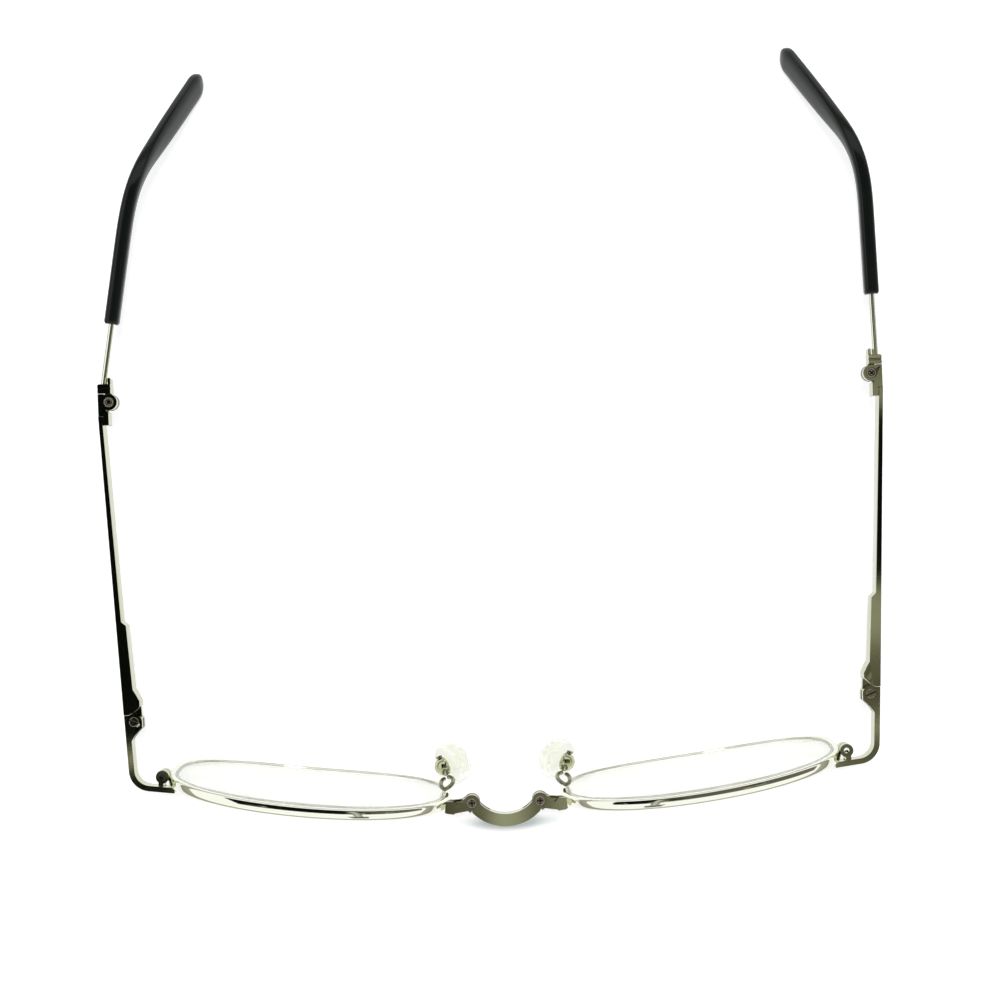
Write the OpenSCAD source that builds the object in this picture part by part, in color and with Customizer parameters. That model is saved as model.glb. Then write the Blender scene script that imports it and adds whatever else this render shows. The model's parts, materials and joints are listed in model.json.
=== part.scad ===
// Folding full-rim metal reading glasses, open and standing on a table.
// X runs to the right, Y runs back along the temples, Z is up.
// The origin is under the middle of the glasses, at table height.
// Everything is first set out from the line through the two bridge hinge pins (y = 0),
// then moved back by mid_y so that the origin is central.

/* [Lenses] */
// Width of one lens, edge to edge
lens_w = 50; // [44:0.5:54]
// Height of one lens, edge to edge
lens_h = 29; // [24:0.5:33]
// Thickness of the lens at its centre
lens_t = 2.4; // [2.2:0.1:2.8]
// Radius of the front face of the lens
lens_front_r = 120; // [110:5:140]
// Radius of the back face of the lens
lens_back_r = 200; // [170:5:260]
// Squareness of the upper half of the lens outline
brow_square = 3; // [2.2:0.1:4]
// Squareness of the lower half of the lens outline
cheek_square = 2.4; // [2:0.1:3.5]

/* [Rims] */
// Gap between the two rims at the nose
rim_gap = 20.6; // [18:0.2:24]
// How far the rim wire stands out round the lens edge
rim_out = 1; // [0.8:0.1:1.4]
// How far the rim wire laps over the lens
rim_lap = 0.5; // [0.3:0.1:0.8]
// Depth of the rim wire, front to back
rim_depth = 2.2; // [1.9:0.1:2.8]
// Radius of the curve that the rims bow forward on
rim_curve_r = 160; // [130:5:240]
// Angle that each rim wraps back towards the temple
wrap = 7.2; // [3:0.2:10]
// Angle that the lower rim leans back towards the cheek
lean = 6; // [3:0.5:9]
// Width of the split in the rim at the closing block
split_w = 0.15; // [0.1:0.05:0.3]

/* [Bridge] */
// Distance between the two bridge hinge pins
pin_gap = 12.4; // [11.6:0.2:13.2]
// How far the bridge bar bows forward of its pins
bridge_bow = 3.3; // [2.9:0.1:3.8]
// Width of the bridge bar seen from above
bridge_w = 2.2; // [1.8:0.1:2.5]
// Length of the wedge that points outwards from each pin of the bridge bar
wedge_l = 3.2; // [2.9:0.1:3.4]

/* [Hinges] */
// Height of the hinge pins above the table
hinge_z = 21; // [20:0.5:24]
// Height of every hinge, top leaf to bottom leaf
hinge_h = 3.5; // [3:0.1:4]
// Thickness of the outer leaves of a hinge
leaf_h = 1.15; // [1:0.05:1.3]
// Radius of a hinge knuckle
knuckle_r = 1.5; // [1.4:0.05:1.6]
// Radius of a hinge screw's shank
screw_r = 0.55; // [0.5:0.05:0.65]
// Radius of a hinge screw's head
head_r = 0.9; // [0.8:0.05:1]
// Height of a hinge screw's head
head_h = 0.45; // [0.3:0.05:0.6]
// Running clearance between a screw and the leaf that turns on it
run_gap = 0.05; // [0.03:0.01:0.08]
// Clearance between leaves that pass each other
leaf_gap = 0.06; // [0.04:0.01:0.1]

/* [Endpieces] */
// Distance from the outer end of each rim out to the endpiece hinge pin
end_out = 5.05; // [4.9:0.05:6]
// Distance from the bridge pins back to the endpiece pins
hinge_back = 17.1; // [15:0.2:19]
// Thickness of the bent endpiece strip
strip_t = 1; // [0.8:0.1:1.1]
// Radius of the endpiece's bend along its middle
strip_r = 3.4; // [2.5:0.1:4]
// Distance from the endpiece pin out to the face of the temple
end_inset = 1.75; // [1.7:0.05:1.9]
// Radius of the closing block's barrel
barrel_r = 1.2; // [1:0.05:1.25]
// Height of each half of the closing block
barrel_h = 2.1; // [1.8:0.1:2.6]

/* [Temples] */
// Length of the front half of a temple, pin to pin
front_l = 58.2; // [50:0.5:64]
// How far the mid-temple pin stands out past the endpiece pin
splay = 2.35; // [1.8:0.05:3]
// Height of the flat bar of the front half
bar_h = 4; // [3.6:0.1:5]
// Thickness of the bar at its front end
bar_front_t = 1.1; // [0.9:0.1:1.3]
// Thickness of the bar at its rear end
bar_rear_t = 0.7; // [0.6:0.1:0.9]
// Distance from the mid-temple pin out to the face of the temple
mid_inset = 1.95; // [1.9:0.05:2.1]
// Length of the hinge plate inside the temple
plate_l = 17; // [13:0.5:22]
// Thickness of that plate
plate_t = 0.9; // [0.7:0.1:1.1]

/* [Temple tips] */
// Radius of the rear temple wire
wire_r = 0.625; // [0.5:0.025:0.75]
// Length of bare wire between the hinge block and the sleeve
bare_l = 10.5; // [6:0.5:16]
// Angle that the left rear wire leans inwards
left_yaw = 9.8; // [3:0.2:11]
// Angle that the right rear wire leans inwards
right_yaw = 1.4; // [1:0.2:7]
// Angle that the end of the tip leans inwards
tip_yaw = 24.5; // [15:0.5:30]
// Angle that the tip drops behind the ear
tip_drop = 41; // [36:1:45]
// Angle that the paddle's top rolls away from the head
tip_roll = 18; // [0:1:24]
// Length of sleeve ahead of the ear bend
sleeve_l = 20.5; // [16:0.5:26]
// Length of the ear bend along the sleeve
bend_l = 14; // [12:1:20]
// Thickness of the sleeve
sleeve_t = 2.7; // [2.4:0.1:3]
// Height of the sleeve where the wire goes in
sleeve_h = 3.2; // [2.8:0.1:3.6]
// Height of the flattened paddle at the end
paddle_h = 5; // [4:0.1:5.6]

/* [Nose pads] */
// Length of a nose pad
pad_l = 13; // [11:0.5:14]
// Width of a nose pad
pad_w = 7.5; // [6:0.25:7.75]
// Thickness of a nose pad
pad_t = 2.4; // [2.2:0.1:2.8]
// Angle that each pad flares down and out
pad_flare = 28; // [24:1:30]
// Angle that each pad opens towards the face
pad_open = 20; // [15:1:30]
// Radius of the cup that holds the eye of the pad
cup_r = 1.75; // [1.6:0.05:1.9]
// Radius of the pad arm's wire
arm_r = 0.4; // [0.3:0.05:0.45]

/* [Hidden] */
LEFT = -1;
RIGHT = 1;
// Fit of pieces that are fixed to each other, and of a bar laid beside another
fine = 0.02;
face_gap = 0.1;
// How far a cutting body runs past the metal it cuts
over = 1;
// Thickness of the lens edge that sits in the rim's groove
rim_edge_t = 0.6;
edge_fit = 0.05;
ball_fn = 360;
bore_fn = 48;
outline_n = 96;

// Middle of one lens, and the lens outline grown by rim sizes
rim_half_w = lens_w / 2 + rim_out;
rim_half_h = lens_h / 2 + rim_out;
function sag(r, span) = r - sqrt(r * r - span * span);
lens_x = rim_gap / 2 + rim_half_w * cos(wrap);
low_front = sag(rim_curve_r, rim_half_h) - rim_depth / 2;
lens_z = rim_half_h * cos(lean) - low_front * sin(lean);
// The rim's front face meets the endpiece strip, and its nasal end is level with the pins
nasal_sag = sag(rim_curve_r, rim_half_w);
nasal_set = 0.15;
lens_y = rim_half_w * sin(wrap) - nasal_sag + (hinge_z - lens_z) * tan(lean) - nasal_set;

// Hinge levels
hinge_top = hinge_z + hinge_h / 2;
hinge_low = hinge_z - hinge_h / 2;
mid_top = hinge_top - leaf_h;
mid_low = hinge_low + leaf_h;
pin_x = pin_gap / 2;
slot_r = 2.35 * knuckle_r;

// Temporal end of the rim at hinge height, where the closing block sits
end_x = lens_x + rim_half_w * cos(wrap);
end_y = lens_y + rim_half_w * sin(wrap) + nasal_sag - (hinge_z - lens_z) * tan(lean);

// Endpiece and temple places seen from above
end_pin = [end_x + end_out, hinge_back];
mid_pin = end_pin + [splay, front_l];
end_face = end_pin.x + end_inset;
mid_face = mid_pin.x + mid_inset;
// How far behind each pin the two halves butt together, and the clearance there
butt = 1.2;
mid_butt = 1.5;
step = 0.08;
bar_start = hinge_back + butt + step;
bar_back = 2.6;
bar_end = mid_pin.y - bar_back;

// Closing block and the strip that runs from it to the hinge
block = [end_x + 0.22, end_y + 0.6];
strip_lap = 1.9;
strip_ahead = 0.42;
strip_start = [end_x - strip_lap, end_y - rim_depth / 2 - strip_t / 2 - strip_ahead];
strip_knee = [end_face - strip_t / 2 - 0.65, strip_start.y + 0.95];
strip_end = [end_face - strip_t / 2, hinge_back + butt];
strip_slope = (strip_knee.y - strip_start.y) / (strip_knee.x - strip_start.x);
// Back face of the strip's straight front run
function strip_back(x) = strip_start.y + (x - strip_start.x) * strip_slope
    + strip_t / 2 * sqrt(1 + strip_slope * strip_slope);

// Rear temple
wire_start = mid_pin + [1.1, 3.2];
wire_in_block = 0.9;
to_sleeve = bare_l + 0.7;
function yaw_of(side) = side < 0 ? left_yaw : right_yaw;
function sleeve_start(side) = wire_start + to_sleeve * [-sin(yaw_of(side)), cos(yaw_of(side))];
wire_in_sleeve = 10;
ear_start = sleeve_l;
ear_end = sleeve_l + bend_l;
rings = 40;

// Nose pad
pad_c = [rim_gap / 2 - 0.5, 6.2, hinge_z - 9.5];
// Pad cup and its screw, measured out from the middle of the pad
cup_z = 2.1;
cup_low = 1.5;
cup_roof = 0.4;
cup_rise = 0.8;
cup_wall = 0.4;
pad_screw_r = 0.35;
pad_screw_gap = 0.05;
pad_head_r = 0.6;
pad_head_h = 0.35;
// Hard core inside the pad: a plate with round ends, a stem and an eye
stem_w = 1.1;
core_t = 0.6;
core_w = 2.4;
core_l = 6;
core_back = 0.3;
eye_r = 0.7;

function smooth(t) = let (u = min(max(t, 0), 1)) u * u * (3 - 2 * u);
function power(v, n) = sign(v) * pow(abs(v), 2 / n);

// Lens outline seen from the front: a superellipse, squarer above than below
function lens_outline(grow) = [for (i = [0 : outline_n - 1])
    let (a = 360 * (i + 0.5) / outline_n, n = a < 180 ? brow_square : cheek_square)
    [(lens_w / 2 + grow) * power(cos(a), n), (lens_h / 2 + grow) * power(sin(a), n)]];

// Two straight runs joined by an arc at the knee
function bent_path(a, knee, b, r, n = 10) = let (
    u = (a - knee) / norm(a - knee),
    v = (b - knee) / norm(b - knee),
    half = acos(u * v) / 2,
    back = r / tan(half),
    p = knee + back * u,
    q = knee + back * v,
    c = knee + r / sin(half) * (u + v) / norm(u + v),
    a0 = atan2(p.y - c.y, p.x - c.x),
    turn = 180 - 2 * half)
    concat([a], [for (i = [0 : n]) c + r * [cos(a0 + turn * i / n), sin(a0 + turn * i / n)]], [b]);

// Outline of a strip of even thickness along a path
function path_normal(p, i) = let (
    q = p[min(i + 1, len(p) - 1)] - p[max(i - 1, 0)])
    [-q.y, q.x] / norm(q);
function strip_outline(p, t) = concat(
    [for (i = [0 : len(p) - 1]) p[i] + t / 2 * path_normal(p, i)],
    [for (i = [len(p) - 1 : -1 : 0]) p[i] - t / 2 * path_normal(p, i)]);

// Direction of a tip sleeve at a length s along it, and its running sum
yaw_from = 0.7 * ear_start;
function tip_dir(side, s) = let (
    yaw = yaw_of(side) + (tip_yaw - yaw_of(side)) * smooth((s - yaw_from) / (ear_end - yaw_from)),
    drop = tip_drop * smooth((s - ear_start) / bend_l))
    [-sin(yaw) * cos(drop), cos(yaw) * cos(drop), -sin(drop)];
function tip_run(side, n, ds) = let (p0 = sleeve_start(side))
    [for (i = 0, p = [p0.x, p0.y, hinge_z]; i <= n; p = p + ds * tip_dir(side, (i + 0.5) * ds), i = i + 1) p];
bend_n = 30;
bend_z = tip_run(RIGHT, bend_n, ear_end / bend_n)[bend_n].z;
// The sleeve runs on past the bend until its rounded end rests on the table
end_low = 0.15 * paddle_h;
tip_l = ear_end + (bend_z - end_low) / sin(tip_drop);

// Half height and half thickness of the sleeve at a share t of its length
function tip_round(t) = t < 0.94 ? 1 : sqrt(max(0, 1 - pow((t - 0.94) / 0.06, 2)) * 0.96 + 0.04);
function tip_half_h(t) = (sleeve_h + (paddle_h - sleeve_h) * smooth((t - 0.3) / 0.55)) / 2 * tip_round(t);
function tip_half_t(t) = (sleeve_t - 0.3 * smooth((t - 0.3) / 0.5)) / 2 * tip_round(t);
function cross_ring(c, side, up, a, b, n, square) = [for (i = [0 : n - 1])
    let (w = 360 * (i + 0.5) / n)
    c + a * power(cos(w), square) * side + b * power(sin(w), square) * up];
function tip_rings(side) = let (path = tip_run(side, rings, tip_l / rings)) [for (i = [0 : rings]) let (
    t = i / rings,
    d = tip_dir(side, t * tip_l),
    roll = tip_roll * smooth((t * tip_l - ear_start) / (1.5 * bend_l)),
    flat = [d.y, -d.x, 0] / norm([d.x, d.y]),
    plumb = cross(flat, d),
    across = cos(roll) * flat - sin(roll) * plumb,
    up = cos(roll) * plumb + sin(roll) * flat)
    cross_ring(path[i], across, up, tip_half_t(t), tip_half_h(t), 24, 3)];

// Overall depth, which sets the origin
y_front = -bridge_bow - bridge_w / 2;
y_back = max([for (side = [LEFT, RIGHT]) for (ring = tip_rings(side)) for (p = ring) p.y]);
mid_y = (y_front + y_back) / 2;

// A curve through four points, for the pad arm
function bezier(p, t) = pow(1 - t, 3) * p[0] + 3 * t * pow(1 - t, 2) * p[1]
    + 3 * t * t * (1 - t) * p[2] + pow(t, 3) * p[3];

silver = "silver";
bright = "gainsboro";
dark_metal = "dimgray";

// Moves a piece into the shared frame, mirrored for the left side, in its colour
module on_side(side, finish) {
    color(finish) translate([0, -mid_y, 0]) mirror([side < 0 ? 1 : 0, 0, 0]) children();
}

module level(low, high) {
    translate([0, 0, low]) linear_extrude(high - low) children();
}

module at(p) {
    translate([p.x, p.y, 0]) children();
}

// Skin over a list of rings with the same number of points
module sweep(r) {
    n = len(r[0]);
    last = len(r) - 1;
    points = concat([for (ring = r) for (p = ring) p],
        [(r[0][0] + r[0][n / 2]) / 2, (r[last][0] + r[last][n / 2]) / 2]);
    foot = n * (last + 1);
    walls = [for (i = [0 : last - 1]) for (j = [0 : n - 1]) let (k = (j + 1) % n)
        each [[i * n + j, i * n + n + k, i * n + k], [i * n + j, i * n + n + j, i * n + n + k]]];
    start = [for (j = [0 : n - 1]) [foot, j, (j + 1) % n]];
    end = [for (j = [0 : n - 1]) [foot + 1, last * n + (j + 1) % n, last * n + j]];
    polyhedron(points, concat(walls, start, end));
}

// Holes and screw of a hinge, at its own pin
module hinge_bores() {
    translate([0, 0, hinge_low - over]) cylinder(r = screw_r + fine, h = hinge_h + 2 * over, $fn = bore_fn);
    translate([0, 0, hinge_top - head_h]) cylinder(r = head_r + fine, h = head_h + over, $fn = bore_fn);
}

module leaf_bore() {
    bore_h = mid_top - mid_low + 2 * over;
    translate([0, 0, mid_low - over]) cylinder(r = screw_r + run_gap, h = bore_h, $fn = bore_fn);
}

// Room round a pin for the leaf that turns on it, between the two outer leaves
module leaf_room(r) {
    translate([0, 0, mid_low]) cylinder(r = r, h = mid_top - mid_low, $fn = bore_fn);
}

// Room that the full-height metal beside a knuckle leaves for it
module knuckle_room() {
    room_h = bar_h + 2 * over;
    translate([0, 0, hinge_z - room_h / 2]) cylinder(r = knuckle_r + leaf_gap, h = room_h, $fn = bore_fn);
}

// Hinge screw with a slot right across its head, or a short-armed cross
module hinge_screw(cross_cut) {
    slot_w = 0.28 * head_r;
    slot_l = 2.4 * head_r;
    arm_l = 1.4 * head_r;
    difference() {
        union() {
            translate([0, 0, hinge_low]) cylinder(r = screw_r, h = hinge_h - head_h, $fn = bore_fn);
            translate([0, 0, hinge_top - head_h]) cylinder(r = head_r, h = head_h, $fn = bore_fn);
        }
        translate([0, 0, hinge_top]) {
            cube([slot_l, slot_w, head_h], center = true);
            if (cross_cut) cube([slot_w, arm_l, head_h], center = true);
        }
    }
}

// Bridge bar: an arch with a knuckle and a wedge at each pin
module bridge_plan() {
    arch_r = (pin_x * pin_x + bridge_bow * bridge_bow) / (2 * bridge_bow);
    wedge_tip = [wedge_l, 0.35];
    wedge_heel = [0.62 * wedge_l, 0.5];
    wedge_front = [0.25, -knuckle_r - 0.3];
    intersection() {
        translate([0, arch_r - bridge_bow]) difference() {
            circle(r = arch_r + bridge_w / 2, $fn = 128);
            circle(r = arch_r - bridge_w / 2, $fn = 128);
        }
        translate([-pin_x, -bridge_bow - bridge_w]) square([pin_gap, bridge_bow + bridge_w]);
    }
    for (side = [LEFT, RIGHT]) mirror([side < 0 ? 1 : 0, 0]) translate([pin_x, 0]) {
        circle(r = knuckle_r, $fn = bore_fn);
        polygon([[0, 0], wedge_front, wedge_tip, wedge_heel, [0.8 * knuckle_r, 0.6 * knuckle_r]]);
    }
}

module bridge_bar() {
    color(silver) translate([0, -mid_y, 0]) difference() {
        level(hinge_low, hinge_top) bridge_plan();
        for (x = [-pin_x, pin_x]) translate([x, 0, 0]) {
            hinge_bores();
            leaf_room(slot_r);
        }
    }
}

module bridge_screw(side) {
    on_side(side, bright) translate([pin_x, 0, 0]) hinge_screw(true);
}

module lens_frame() {
    translate([lens_x, lens_y, lens_z]) rotate([0, 0, wrap]) rotate([lean, 0, 0]) children();
}

// Solid block with the lens outline, running right through from front to back
module outline_block(grow, depth) {
    rotate([90, 0, 0]) linear_extrude(depth, center = true) polygon(lens_outline(grow));
}

// Depth of a block that is sure to run right through the curved rim
through = 14;

// Thick spherical skin that the rim and the lens edge lie in
module curved_skin(depth) {
    translate([0, rim_curve_r, 0]) difference() {
        sphere(r = rim_curve_r + depth / 2, $fn = ball_fn);
        sphere(r = rim_curve_r - depth / 2, $fn = ball_fn);
    }
}

// Lug on the rim: its middle leaf turns in the bridge bar, its body stops against the wedge
module bridge_lug(side) {
    to_rim = rim_gap / 2 - pin_x;
    in_rim = to_rim + 1.5;
    ridge = [3.3, -1.95];
    stop_x = 2.62;
    lug_back = 0.45;
    on_side(side, silver) difference() {
        translate([pin_x, 0, 0]) {
            level(mid_low + leaf_gap, mid_top - leaf_gap) {
                circle(r = knuckle_r - leaf_gap, $fn = bore_fn);
                polygon([[0, 0], [0, -knuckle_r + leaf_gap], ridge, [in_rim, -1.6],
                    [in_rim, lug_back - 0.05], [0.8 * knuckle_r, 0.5 * knuckle_r]]);
            }
            level(hinge_low, hinge_top)
                polygon([[wedge_l + 0.2, lug_back], [wedge_l - 0.15, 0], [stop_x, -0.4], [stop_x, -1],
                    ridge, [to_rim + 0.5, -1.75], [in_rim, -1.2], [in_rim, lug_back]]);
        }
        lens_frame() outline_block(rim_out + fine, through);
        translate([pin_x, 0, 0]) leaf_bore();
    }
}

// Rim: a band round the lens with a groove inside, split at the closing block
module rim(side) {
    split_from = [lens_x + lens_w / 4, lens_y - through, hinge_z - split_w / 2];
    on_side(side, silver) difference() {
        lens_frame() difference() {
            intersection() {
                curved_skin(rim_depth);
                difference() {
                    outline_block(rim_out, through);
                    outline_block(-rim_lap, through + over);
                }
            }
            intersection() {
                curved_skin(rim_edge_t + 2 * edge_fit);
                outline_block(edge_fit, through);
            }
        }
        at(block) translate([0, 0, hinge_z - barrel_h - over])
            cylinder(r = barrel_r + fine, h = 2 * (barrel_h + over), $fn = bore_fn);
        translate(split_from) cube([lens_w, 2 * through, split_w]);
    }
}

// Lens: a curved body inside the rim and a thin bevelled edge in the rim's groove
module lens(side) {
    inset = rim_lap + edge_fit;
    edge_lap = 0.2;
    edge_mid = sag(rim_curve_r, lens_w / 2);
    front = edge_mid - (lens_t + sag(lens_front_r, lens_w / 2) + sag(lens_back_r, lens_w / 2)) / 2;
    on_side(side, "lightcyan") lens_frame() {
        difference() {
            intersection() {
                outline_block(-inset, through + over);
                translate([0, front + lens_front_r, 0]) sphere(r = lens_front_r, $fn = ball_fn);
            }
            translate([0, front + lens_t + lens_back_r, 0]) sphere(r = lens_back_r, $fn = ball_fn);
        }
        intersection() {
            curved_skin(rim_edge_t);
            difference() {
                outline_block(0, through);
                outline_block(-inset - edge_lap, through + over);
            }
        }
    }
}

// Closing block: two short barrels that draw the split rim together
module closing_barrel(low, high) {
    foot = [-0.15, 0.75];
    level(low, high) {
        circle(r = barrel_r, $fn = bore_fn);
        polygon([[foot[0], 0], for (x = foot) [x, strip_back(block.x + x) + face_gap / 2 - block.y],
            [foot[1], 0]]);
    }
}

module closing_block_upper(side) {
    on_side(side, silver) at(block) difference() {
        closing_barrel(hinge_z + split_w / 2, hinge_z + barrel_h);
        translate([0, 0, hinge_z - over])
            cylinder(r = screw_r + fine, h = barrel_h + 2 * over, $fn = bore_fn);
    }
}

module closing_block_lower(side) {
    on_side(side, silver) at(block) difference() {
        closing_barrel(hinge_z - barrel_h, hinge_z - split_w / 2);
        translate([0, 0, hinge_z - barrel_h - over])
            cylinder(r = screw_r + fine, h = barrel_h + 2 * over, $fn = bore_fn);
    }
}

// Closing screw, put in from below, with its end just under the top of the block
module closing_screw(side) {
    slot_w = 0.28 * head_r;
    shank_l = 2 * barrel_h - 0.4;
    on_side(side, dark_metal) at(block) translate([0, 0, hinge_z - barrel_h]) difference() {
        union() {
            cylinder(r = screw_r, h = shank_l, $fn = bore_fn);
            translate([0, 0, -head_h]) cylinder(r = head_r, h = head_h, $fn = bore_fn);
        }
        translate([0, 0, -head_h]) cube([3 * head_r, slot_w, head_h], center = true);
    }
}

// Pad frame: local z points away from the nose, local y runs up the pad
module at_pad() {
    translate(pad_c) rotate([0, 0, -pad_open]) rotate([0, 90 - pad_flare, 0]) rotate([0, 0, 90]) children();
}

// Where a point of the pad frame lies
pad_n = [cos(pad_flare) * cos(pad_open), -cos(pad_flare) * sin(pad_open), sin(pad_flare)];
pad_across = [sin(pad_open), cos(pad_open), 0];
pad_up = cross(pad_n, pad_across);
function pad_point(p) = pad_c + p.x * pad_across + p.y * pad_up + p.z * pad_n;

// Pad arm: a loop of wire whose bend sits on the back of the rim and whose ends hold the cup
module pad_arm(side) {
    n = 16;
    foot_z = hinge_z - 4.8;
    rim_back = lens_y - rim_half_w * sin(wrap) + nasal_sag + rim_depth / 2 - (foot_z - lens_z) * tan(lean);
    foot = [rim_gap / 2 + 0.9, rim_back + arm_r + fine, foot_z];
    beside = -cup_r - arm_r - fine;
    near_end = pad_point([beside, 0.3, cup_low + 0.45]);
    far_end = pad_point([beside, 0.3, cup_low + 1.45]);
    rise = [near_end, near_end + [-1.6, 0.2, 2.6], foot + [-1.6, 0.6, 0.6], foot];
    fall = [foot, foot + [1.1, 0.3, 0.3], far_end + [0.6, 0.2, 1.6], far_end];
    path = concat([for (i = [0 : n]) bezier(rise, i / n)], [for (i = [1 : n]) bezier(fall, i / n)]);
    on_side(side, silver) sweep([for (i = [0 : 2 * n]) let (
        d = path[min(i + 1, 2 * n)] - path[max(i - 1, 0)],
        u = cross(d, [0, 1, 0]) / norm(cross(d, [0, 1, 0])),
        v = cross(d, u) / norm(cross(d, u)))
        cross_ring(path[i], v, u, arm_r, arm_r, 12, 2)]);
}

// Pad cup: a round cap that holds the pad screw across its mouth
module pad_box(side) {
    cup_top = cup_z + cup_rise;
    on_side(side, silver) at_pad() difference() {
        translate([0, 0, cup_low]) cylinder(r = cup_r, h = cup_top + cup_roof - cup_low, $fn = bore_fn);
        translate([0, 0, cup_low - over]) cylinder(r = cup_r - cup_wall, h = cup_top - cup_low + over,
            $fn = bore_fn);
        translate([0, 0, cup_z]) rotate([0, 90, 0])
            cylinder(r = pad_screw_r + fine, h = 4 * cup_r, center = true, $fn = bore_fn);
    }
}

// Pad screw: its slotted head is on the back of the cup and its end is flush with the front
module pad_screw(side) {
    head_low = cup_r + fine;
    head_top = head_low + pad_head_h;
    on_side(side, bright) at_pad() translate([0, 0, cup_z]) rotate([0, 90, 0]) difference() {
        union() {
            translate([0, 0, -cup_r]) cylinder(r = pad_screw_r, h = cup_r + head_top, $fn = bore_fn);
            translate([0, 0, head_low]) cylinder(r = pad_head_r, h = pad_head_h, $fn = bore_fn);
        }
        translate([0, 0, head_top]) cube([pad_head_r / 3, 3 * pad_head_r, pad_head_h], center = true);
    }
}

// Pad core: a plate inside the pad with an eye that swings on the pad screw
module core_plate(grow) {
    translate([0, 0, -core_back - grow]) linear_extrude(core_t + 2 * grow) {
        square([core_w + 2 * grow, core_l + 2 * grow], center = true);
        for (y = [-core_l, core_l] / 2) translate([0, y]) circle(r = core_w / 2 + grow, $fn = bore_fn);
    }
}

module pad_core(side) {
    on_side(side, "white") at_pad() difference() {
        union() {
            core_plate(0);
            translate([-stem_w / 2, -stem_w / 2, 0]) cube([stem_w, stem_w, cup_z]);
            translate([0, 0, cup_z]) rotate([0, 90, 0])
                cylinder(r = eye_r, h = stem_w, center = true, $fn = bore_fn);
        }
        translate([0, 0, cup_z]) rotate([0, 90, 0])
            cylinder(r = pad_screw_r + pad_screw_gap, h = 2 * stem_w, center = true, $fn = bore_fn);
    }
}

// Nose pad: a flattened oval, fuller on the side that meets the nose
module nose_pad(side) {
    layers = 14;
    face_angle = 84;
    sink = 0.1;
    stem_hole = stem_w + 2 * fine;
    on_side(side, "honeydew") at_pad() difference() {
        sweep([for (i = [0 : layers]) let (
            a = face_angle * (2 * i / layers - 1),
            z = pad_t / 2 * sin(a) - sink,
            k = sqrt(cos(a)))
            cross_ring([0, 0, z], [1, 0, 0], [0, 1, 0], pad_w / 2 * k, pad_l / 2 * k, 32, 2.2)]);
        core_plate(fine);
        translate([-stem_hole / 2, -stem_hole / 2, 0]) cube([stem_hole, stem_hole, pad_t]);
    }
}

// Endpiece: a strip bent round from the rim to the hinge, with the two outer leaves
module endpiece(side) {
    strip = bent_path(strip_start, strip_knee, strip_end, strip_r);
    shoulder = [-knuckle_r, -1.1];
    leaf_root = [end_inset - strip_t, -4.5];
    on_side(side, silver) difference() {
        union() {
            level(hinge_low, hinge_top) polygon(strip_outline(strip, strip_t));
            for (low = [hinge_low, hinge_top - leaf_h]) level(low, low + leaf_h) at(end_pin) {
                circle(r = knuckle_r, $fn = bore_fn);
                // The neck narrows to the strip in a quarter wave
                polygon([[0, 0.8 * knuckle_r], [-knuckle_r, 0], for (t = [0 : 1 / 6 : 1]) [
                    shoulder.x + (leaf_root.x - shoulder.x) * sin(90 * t),
                    shoulder.y + (leaf_root.y - shoulder.y) * t],
                    [end_inset - strip_t / 3, leaf_root.y], [end_inset - strip_t / 4, butt], [0.5, butt]]);
            }
        }
        at(end_pin) hinge_bores();
        at(end_pin) leaf_room(knuckle_r + leaf_gap);
        lens_frame() intersection() {
            curved_skin(rim_depth + 2 * fine);
            outline_block(rim_out + fine, through);
        }
    }
}

module endpiece_screw(side) {
    on_side(side, bright) at(end_pin) rotate([0, 0, 25]) hinge_screw(false);
}

// Front half of the temple: a flat bar on edge, thinner towards the rear
module temple_bar(side) {
    on_side(side, silver) difference() {
        level(hinge_z - bar_h / 2, hinge_z + bar_h / 2)
            polygon([[end_face, bar_start], [mid_face, bar_end], [mid_face - bar_rear_t, bar_end],
                [end_face - bar_front_t, bar_start]]);
        at(end_pin) knuckle_room();
    }
}

// Inner face of the temple bar at a distance back from its front end
function bar_inner(y) = end_face - bar_front_t + (mid_face - bar_rear_t - end_face + bar_front_t)
    * (y - bar_start) / (bar_end - bar_start);

// Hinge plate: soldered inside the bar, with the middle leaf of the endpiece hinge
module hinge_plate(side) {
    boss_end = bar_start + 4.6;
    plate_end = bar_start + plate_l;
    boss_x = end_pin.x - 1.25;
    root_y = end_pin.y + 3.2;
    boss_in = bar_inner(boss_end) - plate_t;
    on_side(side, silver) difference() {
        union() {
            difference() {
                level(hinge_z - bar_h / 2, hinge_z + bar_h / 2)
                    polygon([[end_pin.x + 0.2, end_pin.y + knuckle_r],
                        [bar_inner(bar_start) - fine, bar_start],
                        [bar_inner(plate_end) - fine, plate_end],
                        [bar_inner(plate_end) - plate_t, plate_end - 0.8],
                        [boss_in - 0.1, boss_end], [boss_in - 0.7, boss_end - 1],
                        [boss_x, boss_end - 2.1], [boss_x, root_y - 0.45]]);
                at(end_pin) knuckle_room();
            }
            level(mid_low + leaf_gap, mid_top - leaf_gap) {
                at(end_pin) circle(r = knuckle_r - leaf_gap, $fn = bore_fn);
                polygon([[end_pin.x - knuckle_r + leaf_gap, end_pin.y], [boss_x, root_y],
                    [end_pin.x + 0.5, root_y], [end_pin.x + 0.5, end_pin.y]]);
            }
        }
        at(end_pin) leaf_bore();
    }
}

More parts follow.
